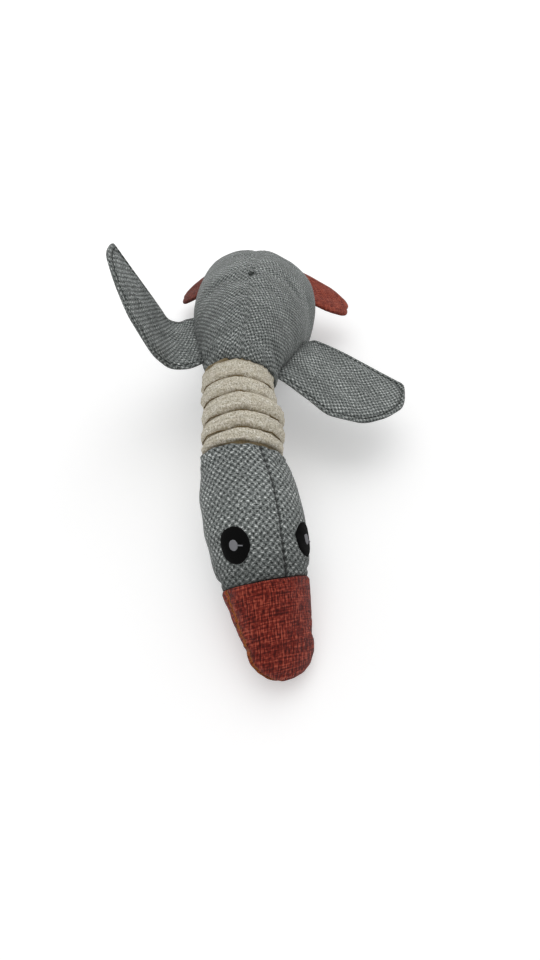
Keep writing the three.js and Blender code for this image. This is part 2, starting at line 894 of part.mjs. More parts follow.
// Frames along a wing: the direction turns from straight out to the pose's curl, and the width
// tips with the front edge's lift
function wingFrames(pose, steps) {
  const base = limbRoot(pose);
  const cosLift = Math.cos(pose.lift);
  const tipAhead = mixed(
    base,
    cosLift * Math.cos(pose.sweep),
    -cosLift * Math.sin(pose.sweep),
    Math.sin(pose.lift),
  );
  const tipFront = mixed(base, 0, Math.cos(pose.frontLift), Math.sin(pose.frontLift));
  const stretch = (wingLength + wingOverlap) / steps;
  let origin = base.root.clone().addScaledVector(base.out, -wingOverlap);
  const frames = [];
  for (let i = 0; i <= steps; i += 1) {
    const run = Math.max(0, (i * stretch - wingOverlap) / wingLength);
    const turn = THREE.MathUtils.smoothstep(run, 0, pose.turnShare);
    const ahead = base.out.clone().lerp(tipAhead, turn).normalize();
    const front = base.front.clone().lerp(tipFront, turn);
    front.addScaledVector(ahead, -front.dot(ahead)).normalize();
    const above = new THREE.Vector3().crossVectors(front, ahead).multiplyScalar(pose.side);
    frames.push({ origin, ahead, front, above, run });
    origin = origin.clone().addScaledVector(ahead, stretch);
  }
  return frames;
}

// How far a limb's edge lies from its middle line, in front of it or behind
function edgeAside(shares, width, run, across) {
  return between(shares, Math.max(run, 0), across > 0 ? 1 : 2) * (width / 2);
}

// A layer of a limb between two heights above its middle surface
function limbLayer(frames, halfWidth, low, high, ends) {
  const columns = 6;
  const row = (frame, height, k) => {
    const across = (2 * k) / columns - 1;
    const half = halfWidth(frame, across);
    const point = frame.origin.clone().addScaledVector(frame.front, across * half);
    if (ends) point.addScaledVector(frame.ahead, ends(frame, across));
    return point.addScaledVector(frame.above, height);
  };
  const rings = frames.map((frame) => {
    const top = Array.from({ length: columns + 1 }, (_, k) => row(frame, high, k));
    const bottom = Array.from({ length: columns + 1 }, (_, k) => row(frame, low, k));
    return [...top, ...bottom.reverse()];
  });
  return loftRings(rings, null, null);
}

function buildWing(name, pose) {
  const steps = 11;
  const frames = wingFrames(pose, steps);
  const trunkClear = trunkSolid(-wingRootClearance, cutOverrun);
  const half = wingFilling / 2;
  const layers = [
    ["filling", -half, half, clothWall, materials.filling],
    ["upper", half + pieceGap, half + pieceGap + wingLayer, 0, materials.cloth],
    ["lower", -half - pieceGap - wingLayer, -half - pieceGap, 0, materials.cloth],
  ];
  for (const [layer, low, high, trim, material] of layers) {
    const halfWidth = ({ run }, across) => edgeAside(wingShares, wingWidth, run, across) - trim;
    const sheet = limbLayer(frames, halfWidth, low, high);
    addPiece(`wing_${name}_${layer}`, sheet.subtract(trunkClear), material);
  }
  const height = half + pieceGap + wingLayer + 2 * pieceGap + topstitchRadius;
  const firstRun = topstitchInset / wingLength;
  const stitched = frames.filter(({ run }) => run > firstRun && run < 1);
  const edge = (frame, side) => {
    const reach = edgeAside(wingShares, wingWidth, frame.run, side);
    const aside = side * (reach - topstitchInset);
    const point = frame.origin.clone().addScaledVector(frame.front, aside);
    return point.addScaledVector(frame.above, height);
  };
  const last = frames.at(-1);
  const tip = last.origin.clone().addScaledVector(last.ahead, -topstitchInset);
  const route = [
    ...stitched.map((frame) => edge(frame, 1)),
    tip.addScaledVector(last.above, height),
    ...stitched.reverse().map((frame) => edge(frame, -1)),
  ];
  const thread = threadAlong(route, topstitchRadius, 2 * (route.length - 1), true);
  addPiece(`wing_${name}_topstitch`, thread, materials.thread);
}

// Feet

// The room that the trunk takes as a foot sees it through its whole swing about its root
function swungTrunk(base) {
  const axis = new THREE.Vector3().crossVectors(base.out, base.above);
  const solid = trunkSolid(-pieceGap, cutOverrun);
  const swings = [];
  for (let i = 1; i <= footSwingSteps; i += 1) {
    swings.push((footLift * i) / footSwingSteps, (-footDroop * i) / footSwingSteps);
  }
  const rooms = swings.map((swing) => {
    const turn = new THREE.Matrix4().makeTranslation(base.root);
    turn.multiply(new THREE.Matrix4().makeRotationAxis(axis, -swing));
    turn.multiply(new THREE.Matrix4().makeTranslation(base.root.clone().negate()));
    return solid.transform(turn.elements);
  });
  return wasm.Manifold.union([trunkSolid(-footRootClearance, cutOverrun), ...rooms]);
}

function buildFoot(name, pose) {
  const base = levelled(limbRoot(pose), pose);
  const cosDrop = Math.cos(pose.drop);
  const ahead = mixed(
    base,
    cosDrop * Math.cos(pose.sweep),
    -cosDrop * Math.sin(pose.sweep),
    -Math.sin(pose.drop),
  ).normalize();
  const front = base.front.clone().addScaledVector(ahead, -base.front.dot(ahead)).normalize();
  front.applyAxisAngle(ahead, -pose.side * pose.frontLift);
  const above = new THREE.Vector3().crossVectors(front, ahead).multiplyScalar(pose.side);
  const steps = 5;
  const frames = Array.from({ length: steps + 1 }, (_, i) => {
    const along = (i / steps) * (footLength + footOverlap) - footOverlap;
    const origin = base.root.clone().addScaledVector(ahead, along);
    return { origin, ahead, front, above, run: along / footLength };
  });
  const halfWidth = ({ run }, across) => edgeAside(footShares, footWidth, run, across);
  const lobed = (frame, across) => {
    if (frame.run < 1) return 0;
    const [ahead, behind] = [halfWidth(frame, 1), halfWidth(frame, -1)];
    const spread = (across * halfWidth(frame, across) + behind) / (ahead + behind);
    const local = 2 * ((spread * footLobes) % 1) - 1;
    const scallop = footNotch * (1 - Math.sqrt(Math.max(0, 1 - local * local)));
    return -scallop - footCorner * Math.abs(2 * spread - 1) ** 4;
  };
  const room = swungTrunk(base);
  const layers = [
    ["top", pieceGap / 2, pieceGap / 2 + footLayer],
    ["bottom", -pieceGap / 2 - footLayer, -pieceGap / 2],
  ];
  for (const [layer, low, high] of layers) {
    const sheet = limbLayer(frames, halfWidth, low, high, lobed);
    addPiece(`foot_${name}_${layer}`, sheet.subtract(room), materials.footCloth);
  }
}

buildTrunk();
buildClosingStitch();
buildSqueaker();
buildNeck();
buildHead();
buildBill();
buildEyes();
for (const [name, pose] of Object.entries(wingPoses)) buildWing(name, pose);
for (const [name, pose] of Object.entries(footPoses)) buildFoot(name, pose);

// The origin is on the floor, under the middle of the toy's box
const box = new THREE.Box3().setFromObject(toy);
const middle = box.getCenter(new THREE.Vector3());
toy.position.set(-middle.x, -middle.y, 0);

export default toy;
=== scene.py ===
import json
import math

import bpy
import numpy as np
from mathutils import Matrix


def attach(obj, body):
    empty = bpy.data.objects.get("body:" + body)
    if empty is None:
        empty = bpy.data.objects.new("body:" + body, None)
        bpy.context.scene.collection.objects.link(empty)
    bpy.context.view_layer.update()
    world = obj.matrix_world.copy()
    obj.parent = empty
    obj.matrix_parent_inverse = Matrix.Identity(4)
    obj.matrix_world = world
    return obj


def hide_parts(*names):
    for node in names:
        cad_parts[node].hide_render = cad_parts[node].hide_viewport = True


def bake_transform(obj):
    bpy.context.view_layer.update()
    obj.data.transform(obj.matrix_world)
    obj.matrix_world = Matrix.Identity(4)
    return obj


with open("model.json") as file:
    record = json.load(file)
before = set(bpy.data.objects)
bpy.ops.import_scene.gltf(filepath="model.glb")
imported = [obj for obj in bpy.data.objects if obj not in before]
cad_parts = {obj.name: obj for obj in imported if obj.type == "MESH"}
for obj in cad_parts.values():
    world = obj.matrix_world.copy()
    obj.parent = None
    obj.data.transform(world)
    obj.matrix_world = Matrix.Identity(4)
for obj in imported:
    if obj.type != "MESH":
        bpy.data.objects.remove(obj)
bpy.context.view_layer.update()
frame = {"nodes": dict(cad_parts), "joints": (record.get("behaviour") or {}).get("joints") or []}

# Looks of a stuffed goose-shaped dog toy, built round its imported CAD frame. Lengths are
# millimetres in the toy's own frame (the spine's layout) until a mesh is made, where they become
# metres of the shared frame. Surfaces are grids of points whose rows run along a piece and whose
# columns run round it.

bl_info = {
    "name": "Stuffed goose dog toy",
    "version": (1, 0, 0),
    "blender": (4, 5, 0),
    "location": "3D View > Sidebar > Goose toy",
    "description": "Builds the looks of a stuffed dog toy round its packed CAD frame",
    "category": "Object",
}

MM = 0.001

# The spine's layout, as in the CAD source
TRUNK_LENGTH, TRUNK_WIDTH, TRUNK_HEIGHT = 181.6, 93.0, 92.0
TRUNK_SWAY, TRUNK_ROLL, BELLY_POWER = 9.0, math.radians(3), 2.6
NECK_LENGTH, NECK_RADIUS, GROOVE_RADIUS, RIB_SWAY = 53.2, 24.8, 20.0, 2.0
NECK_YAW, NECK_PITCH, NECK_HEIGHT = math.radians(2), math.radians(15), 0.618
HEAD_LENGTH, HEAD_WIDTH, HEAD_HEIGHT = 74.2, 56.5, 52.6
HEAD_YAW, HEAD_PITCH, HEAD_ROLL = math.radians(11.4), math.radians(17.8), math.radians(27)
BILL_LENGTH, BILL_WIDTH, BILL_HEIGHT = 48.3, 48.8, 43.0
BILL_YAW, BILL_PITCH, TURN_SHARE = math.radians(14.2), math.radians(11.5), 0.4
WING_LENGTH, WING_WIDTH, WING_OVERLAP = 83.8, 66.0, 8.0
FOOT_LENGTH, FOOT_WIDTH, FOOT_OVERLAP = 38.1, 35.1, 8.0

# Stations: share of the length, half width, top, bottom, sway
TRUNK = np.array([
    [0.0, 0.0, 0.26, 0.26, 0.39],
    [0.02, 0.28, 0.37, 0.16, 0.39],
    [0.07, 0.56, 0.53, 0.06, 0.41],
    [0.15, 0.78, 0.645, 0.008, 0.45],
    [0.27, 0.92, 0.755, -0.011, 0.38],
    [0.4, 0.96, 0.875, -0.011, 0.22],
    [0.52, 0.935, 0.955, -0.011, 0.25],
    [0.63, 0.845, 0.99, 0.035, 0.58],
    [0.75, 0.73, 1.0, 0.14, 0.7],
    [0.87, 0.595, 0.965, 0.27, 0.88],
    [0.95, 0.495, 0.92, 0.35, 1.05],
    [0.9916, 0.469, 0.855, 0.381, 1.0],
])
# Ribs: crest radius, sway, length
RIBS = np.array([
    [0.9, -1.1, 0.22],
    [0.93, -0.7, 0.203],
    [1.0, 0.5, 0.231],
    [1.0, 0.3, 0.199],
    [0.965, 0.1, 0.147],
])
GROOVES = NECK_LENGTH * np.concatenate([[0], np.cumsum(RIBS[:, 2])])
# Head and bill: share of the length, then of the width and of the height
HEAD = np.array([
    [0, 0.86, 0.88],
    [0.16, 0.91, 0.93],
    [0.36, 0.985, 0.995],
    [0.56, 1, 1],
    [0.74, 0.955, 0.935],
    [0.88, 0.91, 0.885],
    [1, 0.845, 0.81],
])
BILL = np.array([
    [0, 1, 0.99],
    [0.25, 0.94, 0.82],
    [0.5, 0.87, 0.63],
    [0.72, 0.79, 0.48],
    [0.88, 0.61, 0.36],
    [0.97, 0.33, 0.21],
    [1, 0, 0],
])
# Outlines: share of the length, then the front and back edge's distance from the middle line
WING = np.array([
    [0, 0.689, 1.086],
    [0.2, 0.906, 0.94],
    [0.42, 1.201, 0.799],
    [0.62, 1.183, 0.617],
    [0.8, 0.943, 0.44],
    [0.92, 0.636, 0.327],
    [0.98, 0.367, 0.25],
    [1, 0, 0],
])
FOOT = np.array([[0, 0.877, 1.123], [0.5, 0.876, 0.988], [0.95, 0.719, 0.628], [1, 0.702, 0.588]])
# Limbs: the trunk's share and degrees round it where they root, then the tip's lift (or drop) and
# sweep, the front edge's rise and the share of the length over which it turns; a wing's cloth is
# turned by grain and scaled by fine, and a foot is darkened by a share of painted shadow
WING_POSES = {
    "left": dict(
        side=1, share=0.8585, around=95.1, lift=-8.5, sweep=14.7, rise=-9.4, turn=0.25,
        grain=72, fine=1.24,
    ),
    "right": dict(
        side=-1, share=0.8282, around=82.4, lift=68.6, sweep=22.3, rise=-7.4, turn=0.34,
        grain=-25, fine=1.2,
    ),
}
FOOT_POSES = {
    "left": dict(side=1, share=0.301, around=77.2, drop=21.2, sweep=-20.9, rise=-6.8, dark=0.0),
    "right": dict(side=-1, share=0.128, around=83.4, drop=31.4, sweep=-34.6, rise=-13, dark=0.5),
}
# Each eye's place: mm ahead on the head and degrees round it from the top
EYES = {"left": (55.4, 37.5), "right": (54.3, -54.6)}

NECK_ROOT = np.array([-TRUNK_SWAY, -TRUNK_LENGTH, NECK_HEIGHT * TRUNK_HEIGHT])
# From the toy's frame to the shared one, in mm: the neck's first joint is at its root
FIRST_NOD = next(joint for joint in frame["joints"] if joint["name"] == "neck_nod_1")
OFFSET = np.array(FIRST_NOD["pos_m"]) / MM - NECK_ROOT

# Sewing: the grids' rows and columns, and what the pieces share
TRUNK_GRID, HEAD_GRID, BILL_GRID = (150, 208), (76, 208), (90, 208)
NECK_COLUMNS, WING_COLUMNS, FOOT_COLUMNS, LINE_STEPS = 224, 128, 120, 4001
HEAD_REACH = (0.018, 0.998)  # Shares of the head's length that its skin covers
NECK_TUCK, RIM_RADIUS = 1.9, 21.2  # Mm that the plush goes into trunk and head, and its size there
TOPSTITCH_INSET = 3.0  # Mm from a wing's edge
BILL_STITCH, TOP_STITCH = (1.7, 3.1), (2.3, 3.6)  # Mm long and from start to start
NECK_BEND, MOUTH_BEND = 3.8, 3.5  # Mm each side of a groove and inside the neck's ends; the spans made from them are not used
TRUNK_CLOTH, HEAD_CLOTH = 1.42, 1.1  # How much finer than its pitch a piece's weave is
PANEL_TURN = 19  # Degrees between the threads of the trunk's two panels
PANELS_APART, LIMBS_APART, BILLS_APART = 317.3, 211.7, 411.3  # Mm in cloth coordinates
DARKEST = 0.9  # Most that a shade takes away from a colour
# The simulated cloth; shrink_min below 0 cuts it that much too large
CLOTH = dict(
    quality=6, mass=0.4, tension_stiffness=25, compression_stiffness=25, shear_stiffness=8,
    bending_stiffness=0.8, air_damping=2, use_pressure=True, shrink_min=-0.02,
    vertex_group_mass="pin", pin_stiffness=4,
)
TRIAL_FRAMES, TO_TRIAL, FROM_TRIAL = 20, 0.01, 100  # Its length and its scale there and back
# The camera that fits the photograph: mm in the toy's frame, degrees from straight down, and mm
CAMERA_PLACE, CAMERA_TILT, CAMERA_LENS, SENSOR = (9.0, -401.0, 252.0), 36, 17.0625, 36
FLOOR_REACH = 6.0  # Metres each way


# Numbers and frames


def smooth(xs, ys, at):
    """Monotone cubic through stations: the slope at one is the harmonic mean of its two chords."""
    xs, ys, at = np.asarray(xs, float), np.asarray(ys, float), np.asarray(at, float)
    gap = np.diff(xs)
    chord = np.diff(ys) / gap
    slope = np.zeros(len(ys))
    before, after = chord[:-1], chord[1:]
    same = before * after > 0
    heavy, light = 2 * gap[1:] + gap[:-1], gap[1:] + 2 * gap[:-1]
    safe_before, safe_after = np.where(same, before, 1), np.where(same, after, 1)
    mean = (heavy + light) / (heavy / safe_before + light / safe_after)
    slope[1:-1] = np.where(same, mean, 0)
    slope[0], slope[-1] = chord[0], chord[-1]
    i = np.clip(np.searchsorted(xs, at) - 1, 0, len(gap) - 1)
    t, h = (at - xs[i]) / gap[i], gap[i]
    return (
        (2 * t**3 - 3 * t**2 + 1) * ys[i]
        + (t**3 - 2 * t**2 + t) * h * slope[i]
        + (3 * t**2 - 2 * t**3) * ys[i + 1]
        + (t**3 - t**2) * h * slope[i + 1]
    )


def ramp(value, start, end):
    """Smoothstep: t squared times (3 - 2t), where t runs from 0 at start to 1 at end."""
    t = np.clip((np.asarray(value, float) - start) / (end - start), 0, 1)
    return t * t * (3 - 2 * t)


def bell(distance, width):
    """A bump e^(-(d / width)^2) over a distance d."""
    return np.exp(-((distance / width) ** 2))


def run_along(line):
    """Mm along a line of points up to each of them."""
    return np.concatenate([[0], np.cumsum(np.linalg.norm(np.diff(line, axis=0), axis=1))])


def unit(vectors):
    """Vectors divided by their lengths."""
    return vectors / np.maximum(np.linalg.norm(vectors, axis=-1, keepdims=True), 1e-12)


def directions(yaw, pitch, roll):
    """Unit vectors ahead, to the left and up of a line that heads yaw and dips pitch, rolled."""
    yaw, pitch = np.asarray(yaw, float), np.asarray(pitch, float)
    flat = np.cos(pitch)
    ahead = np.stack([np.sin(yaw) * flat, -np.cos(yaw) * flat, -np.sin(pitch)], -1)
    level = np.stack([np.cos(yaw), np.sin(yaw), np.zeros_like(yaw * flat)], -1)
    above = np.cross(ahead, level)
    side = level * math.cos(roll) - above * math.sin(roll)
    return ahead, side, above * math.cos(roll) + level * math.sin(roll)


def spline_matrix(coarse, fine, closed):
    """Rows of Catmull-Rom weights that read a line of `coarse` samples at `fine` even places."""
    span = coarse if closed else coarse - 1
    at = np.arange(fine) * span / (fine if closed else fine - 1)
    i = np.minimum(at.astype(int), span - 1)
    t = at - i
    weights = [
        (-(t**3) + 2 * t**2 - t) / 2,
        (3 * t**3 - 5 * t**2 + 2) / 2,
        (-3 * t**3 + 4 * t**2 + t) / 2,
        (t**3 - t**2) / 2,
    ]
    matrix = np.zeros((fine, coarse))
    for offset, weight in zip((-1, 0, 1, 2), weights):
        column = (i + offset) % coarse if closed else np.clip(i + offset, 0, coarse - 1)
        np.add.at(matrix, (np.arange(fine), column), weight)
    return matrix


def waves(x, y, seed, size, count=7):
    """Smooth waves about `size` mm long: sines of random directions over their count's root."""
    rng = np.random.default_rng(seed)
    total = np.zeros(np.broadcast(x, y).shape)
    for turn, phase, stretch in rng.random((count, 3)):
        step = 2 * math.pi / (size * (0.6 + 0.8 * stretch))
        across = x * math.cos(turn * math.pi * 2) + y * math.sin(turn * math.pi * 2)
        total += np.sin(across * step + phase * 2 * math.pi)
    return total / math.sqrt(count)


# Grids


def oval(origin, side, up, half_width, half_height, angle, power=2.0):
    """Points origin + side w |sin|^(2/p) + up h |cos|^(2/p), signs kept; p is `power` below."""
    origin, side, up = (v[..., None, :] for v in (origin, side, up))
    w, h = np.asarray(half_width)[..., None], np.asarray(half_height)[..., None]
    sine, cosine = np.sin(angle), np.cos(angle)
    share = np.where(cosine < 0, 2.0 / power, 1.0)
    x = w * np.sign(sine) * np.abs(sine) ** share
    z = h * np.sign(cosine) * np.abs(cosine) ** share
    return origin + side * x[..., None] + up * z[..., None]


def normals(points):
    """Outward unit normals of a grid that is closed round its columns: row step x column step."""
    rows = np.gradient(points, axis=0)
    columns = np.roll(points, -1, 1) - np.roll(points, 1, 1)
    return unit(np.cross(rows, columns))


def pushed(points, amount):
    """The grid moved along its normals by `amount` mm."""
    return points + normals(points) * np.asarray(amount)[..., None]


def grid_at(points, row, column):
    """Bilinear reading of a grid at fractional rows and columns, and the normal there."""
    count = points.shape[1]
    out = normals(points)
    r = np.clip(np.floor(row).astype(int), 0, points.shape[0] - 2)
    c = np.floor(column).astype(int)
    fr, fc = (row - r)[..., None], (column - c)[..., None]

    def read(grid):
        a, b = grid[r, c % count], grid[r, (c + 1) % count]
        d, e = grid[r + 1, c % count], grid[r + 1, (c + 1) % count]
        return (a * (1 - fc) + b * fc) * (1 - fr) + (d * (1 - fc) + e * fc) * fr

    return read(points), unit(read(out))


def distances(points):
    """Per point: mm along its column from the first row, and mm round its row from column 0."""
    along = np.linalg.norm(np.diff(points, axis=0), axis=-1)
    along = np.vstack([np.zeros((1, points.shape[1])), np.cumsum(along, 0)])
    ring = np.concatenate([points, points[:, :1]], 1)
    around = np.linalg.norm(np.diff(ring, axis=1), axis=-1)
    around = np.hstack([np.zeros((points.shape[0], 1)), np.cumsum(around, 1)])
    return along, around


def cloth_uv(points, left_turn, right_turn, apart, limb=False):
    """Cloth coordinates in mm of two panels that meet at column 0 and half way round.

    They run round from the nearer seam and along the piece, turned by each panel's own angle, and
    the second panel lies `apart` mm further on. A limb's are measured from its middle line.
    """
    along, around = distances(points)
    count = points.shape[1]
    second = np.arange(count) >= count // 2
    turn = np.where(second, right_turn, left_turn)
    uv = np.zeros((points.shape[0], count, 2, 2))
    for end in (0, 1):
        arc, run = around[:, end : count + end], np.roll(along, -end, 1)
        across = np.where(second, around[:, -1:] - arc, arc)
        if limb:
            across = across - around[:, count // 2, None] / 2
            run = along[:, count // 4, None]
        shift = np.where(second, apart, 0.0)
        uv[:, :, end, 0] = across * np.cos(turn) - run * np.sin(turn) + shift
        uv[:, :, end, 1] = across * np.sin(turn) + run * np.cos(turn)
    return uv


def simulate(points, pinned, cap):
    """The grid after some frames as cloth blown up, each point moved at most `cap` mm.

    Points that are pinned stay, and so do the middles of the two ends.
    """
    rows, columns = points.shape[:2]
    mesh = bpy.data.meshes.new("cloth_trial")
    mesh.from_pydata((capped(points) * TO_TRIAL).tolist(), [], closed_faces(rows, columns))
    trial = bpy.data.objects.new("cloth_trial", mesh)
    scene = bpy.context.scene
    scene.collection.objects.link(trial)
    group = trial.vertex_groups.new(name="pin")
    group.add(np.flatnonzero([*pinned.ravel(), 1, 1]).tolist(), 1.0, "REPLACE")
    cloth = trial.modifiers.new("cloth", "CLOTH")
    for key, value in CLOTH.items():
        setattr(cloth.settings, key, value)
    cloth.settings.uniform_pressure_force = settings().pressure
    cloth.settings.effector_weights.gravity = 0
    cloth.collision_settings.use_collision = False
    cloth.point_cache.frame_start = 1
    cloth.point_cache.frame_end = TRIAL_FRAMES
    for step in range(1, TRIAL_FRAMES + 1):
        scene.frame_set(step)
    graph = bpy.context.evaluated_depsgraph_get()
    done = trial.evaluated_get(graph).to_mesh()
    found = np.zeros(len(done.vertices) * 3)
    done.vertices.foreach_get("co", found)
    trial.evaluated_get(graph).to_mesh_clear()
    bpy.data.objects.remove(trial)
    bpy.data.meshes.remove(mesh)
    scene.frame_set(1)
    move = found.reshape(-1, 3)[:-2].reshape(rows, columns, 3) * FROM_TRIAL - points
    length = np.linalg.norm(move, axis=-1, keepdims=True)
    return points + move * np.minimum(1, cap / np.maximum(length, 1e-9))


def stuffed(shape, coarse, fine, held, share=1.0):
    """The fine grid of a shape, moved as its coarse grid moves when it is blown up as cloth.

    `held` has how many rows stay at the start and at the end, then the quarter turns of the two
    seams, which stay too. `share` is of the largest move. Catmull-Rom splines read the moves.
    """
    points = shape(*fine)
    start, end, *seams = held
    pinned = np.zeros(coarse)
    pinned[:start] = pinned[-end:] = 1
    pinned[:, [coarse[1] * quarter // 4 for quarter in seams]] = 1
    trial = shape(*coarse)
    moved = simulate(trial, pinned, settings().largest_move * share) - trial
    down = spline_matrix(coarse[0], fine[0], False)
    over = spline_matrix(coarse[1], fine[1], True)
    return points + np.einsum("ri,ijk,cj->rck", down, moved, over)


# Meshes


def capped(points):
    """A grid's points in one list, then the middles of its first and last rows."""
    return np.concatenate([points.reshape(-1, 3), [points[0].mean(0), points[-1].mean(0)]])


def closed_faces(rows, columns, zipped=False):
    """Faces of a grid closed at each end: a fan to a pole, or strips across if it is zipped."""
    r, c = np.meshgrid(np.arange(rows - 1), np.arange(columns), indexing="ij")
    a, b = r * columns + c, r * columns + (c + 1) % columns
    faces = np.stack([a, a + columns, b + columns, b], -1).reshape(-1, 4).tolist()
    for end, row in enumerate((0, rows - 1)):
        ring = (row * columns + np.arange(columns)).tolist()
        if zipped:
            strips = [(ring[i], ring[i + 1], ring[-i - 1], ring[-i]) for i in range(columns // 2)]
            caps = [list(dict.fromkeys(strip)) for strip in strips]
            faces += [face[::-1] for face in caps] if end else caps
        else:
            pole = rows * columns + end
            pairs = zip(ring, ring[1:] + ring[:1])
            faces += [[q, p, pole] if end else [p, q, pole] for p, q in pairs]
    return faces


def placed(name, points, faces, kind, rounded=True):
    """A mesh of one material in the scene, shaded smooth everywhere or where `rounded` says."""
    mesh = bpy.data.meshes.new(name)
    mesh.from_pydata(((points + OFFSET) * MM).tolist(), [], faces)
    mesh.polygons.foreach_set("use_smooth", np.full(len(faces), rounded))
    mesh.materials.append(material_of(kind))
    made = bpy.data.objects.new(name, mesh)
    bpy.context.scene.collection.objects.link(made)
    return made


def grid_object(name, points, kind, uv=None, fields=None, zipped=False, flip=False, flat=()):
    """A mesh of a grid, with cloth coordinates on its faces' corners and fields on its points.

    `flat` names the ends (0 or 1) whose fans are shaded flat.
    """
    rows, columns = points.shape[:2]
    faces = closed_faces(rows, columns, zipped)
    if flip:
        faces = [face[::-1] for face in faces]
    count = (rows - 1) * columns
    rounded = np.ones(len(faces), bool)
    for end in flat:
        rounded[count + end * columns : count + (end + 1) * columns] = False
    every = points.reshape(-1, 3) if zipped else capped(points)
    made = placed(name, every, faces, kind, rounded)
    mesh = made.data
    corners = np.zeros((len(mesh.loops), 2), np.float32)
    if uv is not None:
        order = [uv[:-1, :, 0], uv[1:, :, 0], uv[1:, :, 1], uv[:-1, :, 1]]
        quads = np.stack(order, 2).reshape(count, 4, 2)
        corners[: count * 4] = (quads[:, ::-1] if flip else quads).reshape(-1, 2)
    mesh.uv_layers.new(name="cloth").data.foreach_set("uv", corners.ravel())
    for key, values in (fields or {}).items():
        full = np.zeros(len(mesh.vertices), np.float32)
        full[: rows * columns] = np.broadcast_to(values, (rows, columns)).ravel()
        mesh.attributes.new(key, "FLOAT", "POINT").data.foreach_set("value", full)
    mesh.update()
    return made


def tube(path, radius, out, sides=8):
    """Grid of circles along a path of points: each lies square to the path's direction."""
    ahead = unit(np.gradient(path, axis=0))
    side = unit(np.cross(ahead, out))
    return oval(path, side, np.cross(side, ahead), radius, radius, round_angles(sides))


def sewn(on, out, radius, low, rise=0.0, sides=8):
    """A tube over points of a surface: `low` mm off it at the ends, `rise` more in the middle."""
    lift = low + rise * np.sin(np.linspace(0, math.pi, len(on)))
    return tube(on + out * lift[:, None], radius, out, sides)


def joined(name, grids, kind):
    """One mesh of several closed tubes, such as a row of stitches."""
    points, faces, start = [], [], 0
    for grid in grids:
        faces += [[k + start for k in face] for face in closed_faces(*grid.shape[:2])]
        points.append(capped(grid))
        start += len(points[-1])
    return placed(name, np.concatenate(points), faces, kind)


# Shapes


def trunk_section(share, angle, straight=False):
    """Trunk points at shares of its length: ovals that tip to the neck's slope, squarer below."""
    share = np.asarray(share, float)

    def read(column):
        if straight:
            return np.interp(share, TRUNK[1:, 0], TRUNK[1:, column])
        return smooth(np.sqrt(TRUNK[:, 0]), TRUNK[:, column], np.sqrt(share))

    top, bottom = read(2), read(3)
    z = (top + bottom) / 2 * TRUNK_HEIGHT
    origin = np.stack([-read(4) * TRUNK_SWAY, -share * TRUNK_LENGTH, z], -1)
    pitch = NECK_PITCH * ramp(share, 0.7, 1)
    _, side, up = directions(NECK_YAW * ramp(share, 0.93, 1), pitch, TRUNK_ROLL)
    half_width = read(1) * TRUNK_WIDTH / 2
    half_height = (top - bottom) * TRUNK_HEIGHT / 2
    return oval(origin, side, up, half_width, half_height, angle, BELLY_POWER)


def on_floor(points):
    """Points below the floor lifted to it: z becomes (z + (z^2 + 0.3)^(1/2)) / 2."""
    lifted = points.copy()
    z = points[..., 2]
    lifted[..., 2] = (z + np.sqrt(z * z + 0.3)) / 2
    return lifted


def round_angles(columns):
    """Angles of a grid's columns as a one-row array, from the top towards the toy's left."""
    return (np.arange(columns) / columns * 2 * math.pi)[None, :]


def trunk_shape(rows, columns):
    """The trunk's grid at even distances along its side, from just past the tail to the mouth."""
    t = np.linspace(0, 1, LINE_STEPS)
    q = t * math.sqrt(TRUNK[-1, 0])
    wide = smooth(np.sqrt(TRUNK[:, 0]), TRUNK[:, 1], q) * TRUNK_WIDTH / 2
    run = run_along(np.stack([q * q * TRUNK_LENGTH, wide], 1))
    even = np.interp(np.linspace(run[-1] * 0.006, run[-1], rows), run, t)
    return trunk_section((even**2) * TRUNK[-1, 0], round_angles(columns))


def tapered(table, sizes, root, turns, share, columns, tip=False):
    """Points of the head or bill: ovals along a straight line whose direction turns at first."""
    (yaw_from, yaw_to), (pitch_from, pitch_to) = turns
    length, width, height = sizes
    turn = ramp(share, 0, TURN_SHARE)
    ahead, _, _ = directions(yaw_to, pitch_to, HEAD_ROLL)
    yaw = yaw_from + (yaw_to - yaw_from) * turn
    pitch = pitch_from + (pitch_to - pitch_from) * turn
    _, side, up = directions(yaw, pitch, HEAD_ROLL)
    line, at = table[:, 0], share
    if tip:
        table = table[::-1]
        line, at = np.sqrt(1 - table[:, 0]), np.sqrt(1 - share)
    half_width = smooth(line, table[:, 1], at) * width / 2
    half_height = smooth(line, table[:, 2], at) * height / 2
    centre = root + ahead * (share * length)[:, None]
    return oval(centre, side, up, half_width, half_height, round_angles(columns))


NECK_AHEAD, NECK_SIDE, NECK_UP = directions(NECK_YAW, NECK_PITCH, 0)
NECK_END = NECK_ROOT + NECK_AHEAD * NECK_LENGTH
HEAD_AHEAD, _, _ = directions(HEAD_YAW, HEAD_PITCH, HEAD_ROLL)
HEAD_END = NECK_END + HEAD_AHEAD * HEAD_LENGTH
HEAD_TURNS = ((NECK_YAW, HEAD_YAW), (NECK_PITCH, HEAD_PITCH))
BILL_TURNS = ((HEAD_YAW, BILL_YAW), (HEAD_PITCH, BILL_PITCH))
HEAD_SIZES = (HEAD_LENGTH, HEAD_WIDTH, HEAD_HEIGHT)
BILL_SIZES = (BILL_LENGTH, BILL_WIDTH, BILL_HEIGHT)


def head_shape(rows, columns):
    """The head's grid from the neck's edge to the bill's seam."""
    share = np.linspace(*HEAD_REACH, rows)
    return tapered(HEAD, HEAD_SIZES, NECK_END, HEAD_TURNS, share, columns)


